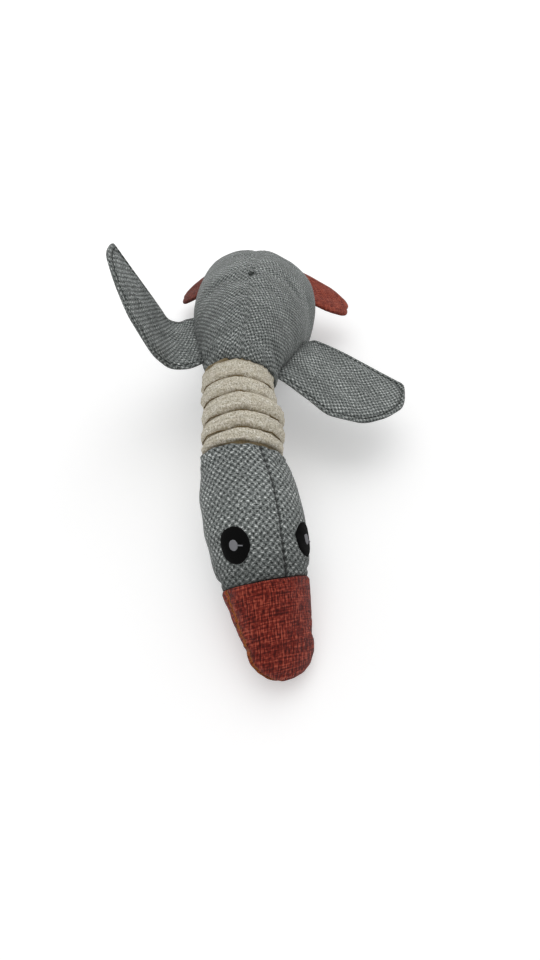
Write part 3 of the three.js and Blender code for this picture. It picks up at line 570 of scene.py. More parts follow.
def bill_shape(rows, columns):
    """The bill's grid from the head's seam to its rounded tip."""
    t = np.linspace(0, 1, LINE_STEPS)
    wide = smooth(np.sqrt(1 - BILL[:, 0])[::-1], BILL[::-1, 1], t)
    run = run_along(np.stack([t * t * BILL_LENGTH, wide * BILL_WIDTH / 2], 1))
    even = np.interp(np.linspace(run[-1], run[-1] * 0.012, rows), run, t)
    share = np.clip(1 - even * even, 0.003, 1)
    return tapered(BILL, BILL_SIZES, HEAD_END, BILL_TURNS, share, columns, True)


def seam_distance(points, *columns):
    """Mm round the row from each point to the nearest of the named columns."""
    _, around = distances(points)
    total = around[:, -1:]
    nearest = np.full(points.shape[:2], np.inf)
    for column in columns:
        gap = np.abs(around[:, :-1] - around[:, column : column + 1])
        nearest = np.minimum(nearest, np.minimum(gap, total - gap))
    return nearest


def puckers(along, seam, height, pitch, wander, reach, start):
    """Mm that a seam's stitches raise the cloth beside it: uneven waves `pitch` mm long."""
    wave = np.sin(along * 2 * math.pi / pitch + wander[0] * np.sin(along / wander[1]))
    return height * wave * bell(seam, reach) * ramp(seam, 0, start)


def limb_root(pose):
    """Where a limb springs from the trunk: its root, and unit vectors out, to the front and up."""
    angle = math.radians(pose["side"] * pose["around"])
    shares = np.array([pose["share"] - 0.05, pose["share"], pose["share"] + 0.05])
    behind, root, before = trunk_section(shares, np.array([[angle]]), True)[:, 0]
    front = unit(before - behind)
    up = unit(np.array([0, 0, 1.0]) - front * front[2])
    out = unit(np.cross(up, front) * pose["side"])
    return root, out, front, up


def wing_line(pose, rows):
    """Origins and unit vectors ahead, front and above of a wing's rows, curling as in the CAD."""
    root, out, front, up = limb_root(pose)
    lift, sweep, rise = (math.radians(pose[k]) for k in ("lift", "sweep", "rise"))
    flat = math.cos(lift)
    tip = out * flat * math.cos(sweep) - front * flat * math.sin(sweep) + up * math.sin(lift)
    tip_front = front * math.cos(rise) + up * math.sin(rise)
    steps, fine_steps = 11, 401
    stretch = (WING_LENGTH + WING_OVERLAP) / steps
    origin, found = root - out * WING_OVERLAP, []
    for i in range(steps + 1):
        run = max(0, (i * stretch - WING_OVERLAP) / WING_LENGTH)
        turn = float(ramp(run, 0, pose["turn"]))
        ahead = unit(out * (1 - turn) + tip * turn)
        across = front * (1 - turn) + tip_front * turn
        across = unit(across - ahead * (across @ ahead))
        found.append([origin, ahead, across])
        origin = origin + ahead * stretch
    fine = spline_matrix(steps + 1, fine_steps, False)
    lines = np.einsum("fi,ijk->fjk", fine, np.array(found))
    place = np.linspace(-WING_OVERLAP / WING_LENGTH, 1, fine_steps)
    origin, ahead, across = (
        np.stack([np.interp(rows, place, lines[:, j, k]) for k in range(3)], 1) for j in range(3)
    )
    ahead, across = unit(ahead), unit(across)
    return origin, ahead, across, np.cross(across, ahead) * pose["side"]


def wing_halves(run):
    """How far a wing's front and back edge lie from its middle line in mm, rounded at the tip."""
    q, line = np.sqrt(np.clip(1 - run, 0, 1)), np.sqrt(1 - WING[:, 0])[::-1]
    return [smooth(line, WING[::-1, k], q) * WING_WIDTH / 2 for k in (1, 2)]


def foot_halves(run):
    """The same for a foot, straight between its stations."""
    return [np.interp(run, FOOT[:, 0], FOOT[:, k]) * FOOT_WIDTH / 2 for k in (1, 2)]


def limb_edges(halves, length, run, across):
    """Mm in front of the middle line, to the nearest long edge, and to the nearest edge of all."""
    front, back = halves(run)
    x = np.where(across > 0, front, back) * across
    edge = np.maximum(np.minimum(front - x, back + x), 0)
    tip = np.maximum((1 - run) * length, 0.02)
    return x, edge, edge * tip / (edge + tip + 1e-6)


def puffed(x_edge, y_edge, thick, softness):
    """Half thickness at distances from two edges: thick times the root of 1 - e^(-d / softness)."""
    d = x_edge * y_edge / (x_edge + y_edge + 1e-6)
    return thick * np.sqrt(1 - np.exp(-np.maximum(d, 0) / softness))


def wing_points(pose, run, across, level, puff):
    """Points of a wing: run along, across -1..1 of its width, level -1 below to 1 above."""
    origin, ahead, front, above = wing_line(pose, run[:, 0])
    x, edge, stitch = limb_edges(wing_halves, WING_LENGTH, run, across)
    thick = puffed(edge, np.maximum((1 - run) * WING_LENGTH, 0.05), puff, 4.0) + 0.25
    thick = thick - 0.75 * bell(stitch - TOPSTITCH_INSET, 0.75) * ramp(run, 0, 0.05)
    along = run * WING_LENGTH
    crinkle = 0.5 * waves(along, x, 5, 21) + 0.25 * waves(along, x, 9, 9)
    inner = ramp(stitch, 1.5, 7)
    z = level * thick + crinkle * inner * 0.9 + level * inner * 0.3 * waves(along, x, 13, 13)
    return origin[:, None] + front[:, None] * x[..., None] + above[:, None] * z[..., None]


def foot_points(pose, run, across, level, puff):
    """Points of a foot: a flat flap whose far end has two lobes and cut corners."""
    root, _, front, _ = limb_root(pose)
    front = unit(front * [1, 1, 0])
    up = np.array([0, 0, 1.0])
    out = np.cross(up, front) * pose["side"]
    drop, sweep = math.radians(pose["drop"]), math.radians(pose["sweep"])
    flat = math.cos(drop)
    ahead = out * flat * math.cos(sweep) - front * flat * math.sin(sweep) - up * math.sin(drop)
    ahead = unit(ahead)
    front = unit(front - ahead * (front @ ahead))
    rise = math.radians(pose["rise"])
    front = front * math.cos(rise) + np.cross(front, ahead) * pose["side"] * math.sin(rise)
    above = np.cross(front, ahead) * pose["side"]
    x, edge, _ = limb_edges(foot_halves, FOOT_LENGTH, run, across)
    ahead_half, back_half = foot_halves(run)
    spread = (x + back_half) / (ahead_half + back_half)
    local = 2 * ((spread * 2) % 1) - 1
    lobe = -2.2 * (1 - np.sqrt(np.maximum(0, 1 - local * local))) - 5 * np.abs(2 * spread - 1) ** 4
    along = run * FOOT_LENGTH + lobe * ramp(run, 0.6, 1)
    tip = np.maximum((1 - run) * FOOT_LENGTH, 0.02)
    thick = puffed(edge, tip, puff, 1.6) + 0.2
    z = level * thick + 0.35 * waves(along, x, 21, 17) * ramp(edge, 0, 5)
    return root + ahead * along[..., None] + front * x[..., None] + above * z[..., None]


def limb_grid(points_of, pose, runs, columns, puff):
    """A limb's closed grid: columns go from the front edge over the top and back underneath."""
    turn = round_angles(columns)
    level = np.sign(np.round(np.sin(turn), 9))
    grids = np.broadcast_arrays(runs[:, None], np.cos(turn), level)
    return points_of(pose, *grids, puff)


# Materials


def linear(colour):
    """A hex sRGB colour as linear RGBA."""
    parts = [int(colour[k : k + 2], 16) / 255 for k in (1, 3, 5)]
    return [p / 12.92 if p <= 0.04045 else ((p + 0.055) / 1.055) ** 2.4 for p in parts] + [1.0]


def node(tree, kind, inputs=None, **properties):
    """Adds one node, sets its properties and joins or fills its inputs."""
    made = tree.nodes.new(kind)
    for key, value in properties.items():
        setattr(made, key, value)
    for key, value in (inputs or {}).items():
        if isinstance(value, bpy.types.NodeSocket):
            tree.links.new(value, made.inputs[key])
        else:
            made.inputs[key].default_value = value
    return made


def calc(tree, operation, *values):
    """One step of arithmetic in a node tree."""
    inputs = dict(enumerate(values))
    return node(tree, "ShaderNodeMath", inputs, operation=operation).outputs[0]


def blended(tree, factor, low, high, mode="MIX"):
    """Two colours mixed by a factor; hex colours are read as sRGB."""
    colours = [linear(c) if isinstance(c, str) else c for c in (low, high)]
    inputs = dict(zip((0, 6, 7), (factor, *colours)))
    return node(tree, "ShaderNodeMix", inputs, data_type="RGBA", blend_type=mode).outputs[2]


def ranged(tree, value, low, high, to_low=0.0, to_high=1.0):
    """A value mapped from one range to another and held inside it."""
    inputs = {0: value, 1: low, 2: high, 3: to_low, 4: to_high}
    return node(tree, "ShaderNodeMapRange", inputs, interpolation_type="SMOOTHSTEP").outputs[0]


def noise(tree, vector, scale, detail=2.0, roughness=0.5):
    """Soft noise 0..1 on coordinates."""
    inputs = {"Vector": vector, "Scale": scale, "Detail": detail, "Roughness": roughness}
    return node(tree, "ShaderNodeTexNoise", inputs).outputs[0]


def stretched(tree, vector, x, y):
    """Coordinates scaled by x and y."""
    inputs = {0: vector, 1: (x, y, 1.0)}
    return node(tree, "ShaderNodeVectorMath", inputs, operation="MULTIPLY").outputs[0]


def new_material(name, roughness, sheen=0.0):
    """A material with a Principled shader; returns it, its node tree and the shader."""
    material = bpy.data.materials.new(name)
    material.use_nodes = True
    tree = material.node_tree
    shader = next(n for n in tree.nodes if n.type == "BSDF_PRINCIPLED")
    shader.inputs["Roughness"].default_value = roughness
    shader.inputs["Sheen Weight"].default_value = sheen
    shader.inputs["Sheen Roughness"].default_value = 0.5
    shader.inputs["Specular IOR Level"].default_value = 0.2
    return material, tree, shader


def weave(tree, pitch, slack):
    """Open plain weave on the cloth coordinates, threads `pitch` mm apart both ways.

    With x and y from -0.5 to 0.5 in a square and h(v, w) = max(1 - (v / w)^2, 0), the squares
    whose column and row add up to an odd number hold a gap h(x, 0.46) h(y, 0.46), and each of the
    others a thread on top, b h(x, 0.6) h(y, 0.3) with b between 0.3 and 1 from square to square.
    Returns the cloth coordinates, the gap, the thread and a shade per row.
    """
    place = node(tree, "ShaderNodeUVMap", uv_map="cloth").outputs[0]
    scaled = stretched(tree, place, 1 / pitch, 1 / pitch)
    inputs = {"Vector": scaled, "Scale": 0.3, "Detail": 2.0}
    wander = node(tree, "ShaderNodeTexNoise", inputs).outputs[1]
    inputs = {0: wander, 1: (0.5, 0.5, 0.5)}
    wander = node(tree, "ShaderNodeVectorMath", inputs, operation="SUBTRACT").outputs[0]
    inputs = {0: wander, 1: (slack, slack, 0), 2: scaled}
    moved = node(tree, "ShaderNodeVectorMath", inputs, operation="MULTIPLY_ADD").outputs[0]
    split = node(tree, "ShaderNodeSeparateXYZ", {0: moved})
    u, v = split.outputs[0], split.outputs[1]
    column, row = calc(tree, "FLOOR", u), calc(tree, "FLOOR", v)
    odd = calc(tree, "PINGPONG", calc(tree, "ADD", column, row), 1.0)
    x = calc(tree, "ABSOLUTE", calc(tree, "SUBTRACT", calc(tree, "FRACT", u), 0.5))
    y = calc(tree, "ABSOLUTE", calc(tree, "SUBTRACT", calc(tree, "FRACT", v), 0.5))

    def hump(value, half):
        ratio = calc(tree, "DIVIDE", value, half)
        inside = calc(tree, "SUBTRACT", 1.0, calc(tree, "MULTIPLY", ratio, ratio))
        return calc(tree, "MAXIMUM", inside, 0.0)

    even = calc(tree, "SUBTRACT", 1.0, odd)
    gap = calc(tree, "MULTIPLY", odd, calc(tree, "MULTIPLY", hump(x, 0.46), hump(y, 0.46)))
    inputs = {"W": calc(tree, "MULTIPLY_ADD", row, 71.7, column)}
    one = node(tree, "ShaderNodeTexWhiteNoise", inputs, noise_dimensions="1D").outputs[0]
    whole = node(tree, "ShaderNodeTexWhiteNoise", {"W": row}, noise_dimensions="1D").outputs[0]
    bright = calc(tree, "MULTIPLY", even, ranged(tree, one, 0, 1, 0.3, 1.0))
    thread = calc(tree, "MULTIPLY", bright, calc(tree, "MULTIPLY", hump(x, 0.6), hump(y, 0.3)))
    return place, gap, thread, calc(tree, "SUBTRACT", whole, 0.5)


def bump(tree, height, distance):
    """A bump normal of a height in 0..1 that stands `distance` mm high."""
    return node(tree, "ShaderNodeBump", {"Height": height, "Distance": distance * MM}).outputs[0]


def field(tree, name):
    """A value stored on a mesh's points."""
    return node(tree, "ShaderNodeAttribute", attribute_name=name).outputs["Fac"]


def swung(tree, value, strength, base):
    """A value in 0..1 made to swing round a base: base + strength (value - 0.5)."""
    return calc(tree, "MULTIPLY_ADD", calc(tree, "SUBTRACT", value, 0.5), strength, base)


def shaded(tree, colour, tone=None):
    """A colour times a tone, if there is one, and darkened by the painted shade stored on the mesh.
    """
    light = calc(tree, "SUBTRACT", 1.0, field(tree, "shade"))
    if tone:
        light = calc(tree, "MULTIPLY", tone, light)
    grey = node(tree, "ShaderNodeCombineColor", {0: light, 1: light, 2: light}).outputs[0]
    return blended(tree, 1.0, colour, grey, "MULTIPLY")


def grey_cloth(name, pitch, dark, middle, light):
    """Open plain-weave polyester linen: light grey threads over dark gaps."""
    _, tree, shader = new_material(name, 0.9, 0.1)
    place, gap, thread, shade = weave(tree, pitch, 0.6)
    fibre = noise(tree, stretched(tree, place, 1.0, 1.5), 0.9, 3.0, 0.7)
    height = calc(tree, "MULTIPLY_ADD", thread, 0.5, calc(tree, "MULTIPLY_ADD", gap, -0.53, 0.67))
    level = calc(tree, "MULTIPLY_ADD", shade, 0.12, swung(tree, fibre, 3.0, height))
    low = blended(tree, ranged(tree, level, 0.0, 0.7), dark, middle)
    colour = blended(tree, ranged(tree, level, 0.68, 1.4), low, light)
    tone = ranged(tree, noise(tree, place, 0.035, 3.0), 0.3, 0.7, 0.86, 1.1)
    tree.links.new(shaded(tree, colour, tone), shader.inputs["Base Color"])
    tree.links.new(bump(tree, height, 0.3), shader.inputs["Normal"])


def red_cloth(name, pitch, dark, middle, light):
    """Slubby linen-look polyester: fine threads with thick and thin places both ways."""
    _, tree, shader = new_material(name, 0.92, 0.12)
    place, gap, thread, shade = weave(tree, pitch, 0.5)
    down = noise(tree, stretched(tree, place, 2.1 / pitch, 0.16), 1.0, 3.0, 0.6)
    over = noise(tree, stretched(tree, place, 0.09, 1.7 / pitch), 1.0, 3.0, 0.6)
    level = swung(tree, over, 2.6, swung(tree, down, 3.6, 0.48))
    level = calc(tree, "MULTIPLY_ADD", calc(tree, "SUBTRACT", thread, gap), 0.2, level)
    level = calc(tree, "MULTIPLY_ADD", shade, 0.12, level)
    low = blended(tree, ranged(tree, level, 0.0, 0.55), dark, middle)
    colour = shaded(tree, blended(tree, ranged(tree, level, 0.55, 1.05), low, light))
    loose = ranged(tree, noise(tree, place, 0.9, 3.0), 0.38, 0.55)
    colour = blended(tree, calc(tree, "MULTIPLY", field(tree, "seam"), loose), colour, "#B4702F")
    tree.links.new(colour, shader.inputs["Base Color"])
    tree.links.new(bump(tree, level, 0.22), shader.inputs["Normal"])


def plush_fabric(name):
    """Short-pile cream plush: crushed in patches, with painted brown shade where it is gathered in
    the grooves.
    """
    _, tree, shader = new_material(name, 0.95, 0.35)
    shader.inputs["Sheen Tint"].default_value = linear("#F3EBD6")
    place = node(tree, "ShaderNodeUVMap", uv_map="cloth").outputs[0]
    pile = noise(tree, place, 0.95, 3.0, 0.75)
    clump = noise(tree, place, 0.6, 3.0, 0.7)
    patch = noise(tree, place, 0.22, 3.0, 0.6)
    tint = noise(tree, stretched(tree, place, 1.0, 1.6), 0.09, 2.0)
    colour = blended(tree, ranged(tree, patch, 0.3, 0.7), "#E4DECD", "#FFFBF0")
    colour = blended(tree, ranged(tree, tint, 0.45, 0.75, 0.0, 0.35), colour, "#DCCBBB")
    deep = blended(tree, 1.0, colour, "#AAA088")
    colour = blended(tree, ranged(tree, pile, 0.39, 0.54), deep, colour)
    deep = blended(tree, 0.5, colour, "#B0A68E")
    colour = blended(tree, ranged(tree, clump, 0.4, 0.58), deep, colour)
    # Painted shade: the mesh's shade field turns the plush brown in the grooves
    colour = blended(tree, field(tree, "shade"), colour, "#75633F")
    tree.links.new(colour, shader.inputs["Base Color"])
    height = calc(tree, "MULTIPLY_ADD", clump, 1.4, pile)
    tree.links.new(bump(tree, height, 0.55), shader.inputs["Normal"])


def plain(name, colour, roughness, grain=0.0, size=0.6):
    """One colour with a fine grain: felt, thread, rubber or plastic."""
    _, tree, shader = new_material(name, roughness)
    shader.inputs["Base Color"].default_value = linear(colour)
    if grain:
        place = node(tree, "ShaderNodeTexCoord").outputs["Object"]
        rough = noise(tree, place, 1 / (size * MM), 3.0)
        tree.links.new(bump(tree, rough, grain), shader.inputs["Normal"])


# Pieces


def material_of(kind):
    """The scene's material of a kind, made the first time that it is asked for."""
    if kind not in bpy.data.materials:
        make, *values = MATERIALS[kind]
        make(kind, *values)
    return bpy.data.materials[kind]


MATERIALS = {
    # Open-weave grey linen-look cloth of the trunk, head and wings
    "grey_linen_cloth": (grey_cloth, 2.1, "#2A2D2C", "#717674", "#EEF2F0"),
    # Cream velvety plush of the neck
    "cream_plush": (plush_fabric,),
    # Rust-red slubby linen-look cloth of the bill
    "red_slub_cloth": (red_cloth, 1.5, "#470C07", "#7A251A", "#B4533F"),
    # Finer orange-red cloth of the feet
    "red_foot_cloth": (red_cloth, 1.1, "#621A10", "#98412F", "#BC5F48"),
    # Black felt of the eyes
    "black_felt": (plain, "#020202", 1.0, 0.3, 0.5),
    # Light grey embroidery at the middle of the eyes
    "grey_embroidery": (plain, "#808084", 0.8, 0.15, 0.4),
    # Dark grey sewing thread
    "dark_thread": (plain, "#3A3F3C", 0.8),
    # Brown-beige thread that gathers the neck
    "beige_thread": (plain, "#6E5C3C", 0.8),
    # Orange-brown thread in the bill's edge seam
    "orange_thread": (plain, "#A85A38", 0.8),
    # Moulded rubber of the squeaker's bellows
    "squeaker_rubber": (plain, "#D9D4C8", 0.5),
    # Hard plastic of the squeaker's whistle and reed
    "whistle_plastic": (plain, "#E8E8E4", 0.35),
}


def settings():
    """The add-on's settings in the scene."""
    return bpy.context.scene.goose_toy


def build_trunk():
    """The trunk's sewn and stuffed cloth as one closed skin over both panels."""
    options = settings()
    points = stuffed(trunk_shape, coarse=(76, 72), fine=TRUNK_GRID, held=(2, 2, 0, 2))
    columns = points.shape[1]
    along, around = distances(points)
    mouth = along[-1:] - along
    angle = round_angles(columns)
    seam = seam_distance(points, 0, columns // 2)
    folds = np.sin(13 * angle + 1.2 * np.sin(2 * angle)) + 0.6 * np.sin(21 * angle + 2)
    amount = -0.3 * bell(seam, 0.8) - 0.2 * bell(seam, 3.5)
    amount += 0.5 * folds * (1 - ramp(mouth, 0, 20)) * ramp(mouth, -1, 3)
    amount += puckers(along, seam, height=0.22, pitch=8.5, wander=(0.8, 9), reach=5, start=2)
    amount += 0.35 * waves(along, around[:, :-1], 3, 42)
    behind = -(points[..., 1] + options.stitch_share * TRUNK_LENGTH)
    beside = points[..., 0] - points[:, :1, 0]
    top = points[..., 2] > 60
    tuck = bell(behind, 1.3) * bell(beside, 4.2) * top
    second = bell(behind + 8.5, 1.5) * bell(beside, 3) * top
    reach = np.sqrt(behind**2 + beside**2)
    star = np.sin(5 * np.arctan2(behind, beside)) * bell(reach, 9) * ramp(reach, 1, 5) * top
    amount = amount - 2.0 * tuck - 0.9 * second + 0.4 * star
    amount -= 1.3 * bell(mouth, 1.1)
    lip = (1.2 + 0.8 * np.cos(angle) + 1.8 * np.sin(angle - 0.35)) * (1 - ramp(mouth, 1, 16))
    lip = np.maximum(lip, 0)
    points = on_floor(pushed(points, amount + 0.16 * lip)) + NECK_AHEAD * lip[..., None]
    # Painted shade: the whole trunk a little darker, darker in the closing stitch's tucks, along
    # the seams and where the neck goes in
    shade = 0.05 + 0.55 * tuck + 0.3 * second + 0.1 * bell(seam, 0.7) + 0.55 * bell(mouth, 1.0)
    turns = (math.radians(options.trunk_grain - PANEL_TURN), math.radians(options.trunk_grain))
    made = grid_object(
        "trunk_skin",
        points,
        "grey_linen_cloth",
        cloth_uv(points, *turns, PANELS_APART) * TRUNK_CLOTH,
        {"shade": np.clip(shade, 0, DARKEST)},
        flat=(1,),
    )
    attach(made, "trunk")
    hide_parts("trunk_panel_left", "trunk_panel_right", "trunk_stuffing")
    build_closing_stitch(points)


def build_closing_stitch(points):
    """The zigzag of thread that closed the trunk, laid in the tuck over the back seam."""
    y, columns = points[:, 0, 1], points.shape[1]
    count, length, half_width, trunk_radius = 7, 5, 1.9, 45
    turns = np.arange(count)
    along = settings().stitch_share * TRUNK_LENGTH + (turns / (count - 1) - 0.5) * length
    row = np.interp(along, -y, np.arange(len(y)))
    column = np.where(turns % 2, half_width, -half_width) / trunk_radius / (2 * math.pi) * columns
    row, column = (spline_matrix(count, 49, False) @ np.stack([row, column], 1)).T
    grids = [sewn(*grid_at(points, row, column), radius=0.3, low=0.15)]
    made = joined("trunk_closing_thread", grids, "dark_thread")
    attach(made, "trunk")
    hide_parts("trunk_closing_stitch")


def neck_surface(along, columns):
    """Neck points at mm along its axis: plump ribs between grooves, which peak at the top seam."""
    angle = round_angles(columns)
    peak = 0.9 * bell((angle + math.pi) % (2 * math.pi) - math.pi, 0.2)
    wobble = 0.35 * np.sin(2 * angle + 0.7) + 0.3 * np.sin(3 * angle + 2.1)
    held = ramp(along, 3, 9) * (1 - ramp(along, NECK_LENGTH - 9, NECK_LENGTH - 3))
    a = along[:, None] + peak + wobble * held[:, None]
    rib = np.searchsorted(GROOVES[1:-1], a)
    half = (GROOVES[rib + 1] - GROOVES[rib]) / 2
    x = np.clip((a - GROOVES[rib]) / half - 1, -1, 1)
    crest = RIBS[rib, 0] * NECK_RADIUS
    first, last = (rib == 0) & (x < 0), (rib == len(RIBS) - 1) & (x > 0)
    groove = np.where(first | last, RIM_RADIUS, GROOVE_RADIUS)
    swell = np.sqrt(np.clip(1 - np.abs(x) ** 3.0, 0, 1))
    radius = groove + (crest - groove) * swell
    centres = (GROOVES[1:] + GROOVES[:-1]) / 2
    sway = smooth(centres, RIBS[:, 1] * RIB_SWAY, np.clip(along, centres[0], centres[-1]))
    origin = NECK_ROOT + NECK_AHEAD * along[:, None] + NECK_SIDE * sway[:, None]
    around = angle * radius
    radius = radius + 0.28 * waves(a * 1.5, around, 31, 8) + 0.2 * waves(a, around, 37, 3.5)
    radius += 0.35 * np.sin(9 * angle + a) * (1 - swell)
    sine, cosine = np.sin(angle)[..., None], np.cos(angle)[..., None]
    points = origin[:, None] + (NECK_SIDE * sine + NECK_UP * cosine) * radius[..., None]
    # Painted shade, strongest at the bottom of each groove between the ribs
    shade = 0.9 * (1 - np.sqrt(np.clip(1 - np.abs(x) ** 4.5, 0, 1)))
    uv = np.zeros((len(along), columns, 2, 2))
    ends = np.concatenate([angle[0], [2 * math.pi]]) * NECK_RADIUS
    uv[:, :, 0, 0], uv[:, :, 1, 0] = ends[:-1], ends[1:]
    uv[..., 1] = along[:, None, None] * 1.25
    return points, shade, uv


def neck_places(start, end):
    """Places along the neck, closer together in the grooves."""
    fine = np.linspace(start, end, 400)
    nearest = np.abs(fine[:, None] - GROOVES).min(1)
    density = 1 + 5 * bell(nearest, 1.2)
    total = np.concatenate([[0], np.cumsum((density[1:] + density[:-1]) / 2 * np.diff(fine))])
    count = max(6, int(round(total[-1] / 0.45)))
    return np.interp(np.linspace(0, total[-1], count), total, fine)


def build_neck():
    """The plush neck in pieces from crest to crest, each holding one groove."""
    count, last = len(RIBS), NECK_LENGTH + NECK_TUCK
    stops = [-NECK_TUCK, *((GROOVES[1:] + GROOVES[:-1]) / 2), last]
    bends = [(groove - NECK_BEND, groove + NECK_BEND) for groove in GROOVES[1:-1]]
    bends = [(-NECK_TUCK, MOUTH_BEND), *bends, (NECK_LENGTH - MOUTH_BEND, last)]
    for k in range(count + 1):
        points, shade, uv = neck_surface(neck_places(stops[k], stops[k + 1]), NECK_COLUMNS)
        name, fields = f"neck_plush_{k + 1}", {"shade": shade}
        made = grid_object(name, points, "cream_plush", uv, fields, flat=(0, 1))
        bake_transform(made)
        if k > 0:
            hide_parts(f"neck_rib_{k}_sleeve", f"neck_rib_{k}_stuffing")
        if 0 < k < count:
            ring = neck_surface(np.array([GROOVES[k] - 0.3]), NECK_COLUMNS)[0][0]
            centre = ring.mean(0)
            ring = centre + (ring - centre) * 1.012
            path = np.concatenate([ring, ring[:1]])
            grids = [tube(path, 0.3, unit(path - centre), sides=6)]
            loop = joined(f"neck_gather_loop_{k}", grids, "beige_thread")
            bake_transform(loop)
            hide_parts(f"neck_gather_thread_{k}")


def head_skin():
    """The head's final grid, which the eyes lie on, and its distances from the edges."""
    points = stuffed(head_shape, coarse=(36, 64), fine=HEAD_GRID, held=(1, 1, 0, 2), share=0.35)
    columns = points.shape[1]
    along, around = distances(points)
    seam = seam_distance(points, 0, columns // 2)
    front, back = along[-1:] - along, along
    amount = -0.7 * bell(seam, 0.75) - 0.3 * bell(seam, 3)
    amount += puckers(along, seam, height=0.2, pitch=7, wander=(1, 7), reach=4, start=2)
    amount += 0.25 * waves(along, around[:, :-1], 41, 30)
    amount = amount - 0.9 * bell(back, 1.0) - 0.35 * bell(front, 0.9)
    angle = round_angles(columns)
    amount += 0.35 * np.sin(15 * angle + np.sin(3 * angle)) * (1 - ramp(back, 0, 10))
    return on_floor(pushed(points, amount)), seam, front, back


def build_head():
    """The head's two cloth panels as one closed skin."""
    points, seam, front, back = head_skin()
    along, _ = distances(points)
    spots = ramp(np.sin(along * 2 * math.pi / 3.2), 0.2, 0.9)
    ticks = ramp(np.sin(round_angles(points.shape[1]) * 24 * 2), -0.2, 0.8)
    # Painted shade: a dark line in the seam's dent, broken by stitch spots; dark stitch ticks and
    # painted shade round the neck's edge; and a darker band towards the bill
    shade = bell(seam, 0.72) * (0.76 + 0.12 * spots) + bell(back, 1.2) * (0.35 + 0.4 * ticks)
    shade += 0.1 * bell(front, 0.9) + 0.42 * bell(front, 15)
    grain = math.radians(settings().head_grain)
    made = grid_object(
        "head_skin",
        points,
        "grey_linen_cloth",
        cloth_uv(points, grain, grain, PANELS_APART) * HEAD_CLOTH,
        {"shade": np.clip(shade, 0, DARKEST)},
        flat=(0, 1),
    )
    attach(made, "head")
    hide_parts("head_panel_left", "head_panel_right", "head_stuffing")
    return points


def build_bill():
    """The bill's upper and lower cloth as one closed skin, with stitches in its edge seam."""
    points = stuffed(bill_shape, coarse=(34, 56), fine=BILL_GRID, held=(1, 2, 1, 3), share=0.5)
    rows, columns = points.shape[:2]
    left, right = columns // 4, 3 * columns // 4
    along, around = distances(points)
    seam = seam_distance(points, left, right)
    amount = -0.85 * bell(seam, 0.8) - 0.3 * bell(seam, 2.6)
    amount += puckers(along, seam, height=0.25, pitch=5.5, wander=(1, 5), reach=3.5, start=1.5)
    amount += 0.15 * waves(along, around[:, :-1], 51, 18)
    amount -= 0.35 * bell(along, 0.9)
    skin = on_floor(pushed(points, amount * ramp(along[-1:] - along, 0, 3)))
    # Painted shade along the edge seam's dent and where the bill meets the head
    shade = np.clip(0.55 * bell(seam, 0.7) + 0.05 * bell(along, 1.0), 0, DARKEST)
    total, strip = around[:, -1:], np.arange(columns)
    uv = np.zeros((rows, columns, 2, 2))
    uv[..., 1] = along[:, :1, None]
    for end in (0, 1):
        arc = around[:, end : columns + end]
        upper = np.where(strip < left, arc, arc - total)
        lower = arc - total / 2 + BILLS_APART
        uv[:, :, end, 0] = np.where((strip >= left) & (strip < right), lower, upper)
    fields = {"shade": shade, "seam": bell(seam, 1.3)}
    made = grid_object("bill_skin", skin, "red_slub_cloth", uv, fields, flat=(0,))
    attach(made, "head")
    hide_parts("bill_upper", "bill_lower", "bill_stuffing")
    build_bill_stitches(skin, (left, right))


def build_bill_stitches(points, seams):
    """Short orange stitches down one side of the bill's seam and down the other."""
    along, _ = distances(points)
    length, pitch = BILL_STITCH
    grids = []
    for column in seams:
        for start in np.arange(1.6, along[-1, column] - 2.2, pitch):
            place = np.linspace(start, start + length, 7)
            row = np.interp(place, along[:, column], np.arange(len(points)))
            on, out = grid_at(points, row, np.full(7, float(column)))
            grids.append(sewn(on, out, radius=0.33, low=0.12, rise=0.28))
    made = joined("bill_edge_stitches", grids, "orange_thread")
    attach(made, "head")
    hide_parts("bill_edge_thread")


def on_head(points, place, ahead, aside):
    """Points on the head's skin and normals there, mm ahead and aside of a place on it."""
    radius = (HEAD_WIDTH + HEAD_HEIGHT) / 4
    reach = np.linspace(*HEAD_REACH, len(points)) * HEAD_LENGTH
    row = np.interp(place[0] + ahead, reach, np.arange(len(points)))
    column = (math.radians(place[1]) + aside / radius) / (2 * math.pi) * points.shape[1]
    return grid_at(points, row, column)


def eye_patch(name, points, place, kind, size, rise, thick):
    """An oval on the head: rings from its edge to its middle, thick (1 - r^5)^(1/2) high."""
    share = np.concatenate([[0.98, 1.0, 1.0], np.cos(np.linspace(0.12, math.pi / 2 * 0.96, 14))])
    height = np.concatenate([[-0.4, 0.0, thick * 0.3], thick * np.sqrt(1 - share[3:] ** 5)])
    turn = -round_angles(72)
    ragged = 1 + 0.012 * np.sin(5 * turn + 1) + 0.008 * np.sin(11 * turn)
    ahead = share[:, None] * size[1] / 2 * np.cos(turn) * ragged
    aside = share[:, None] * size[0] / 2 * np.sin(turn) * ragged
    on, out = on_head(points, place, ahead, aside)
    return grid_object(name, on + out * (rise + height)[:, None, None], kind)


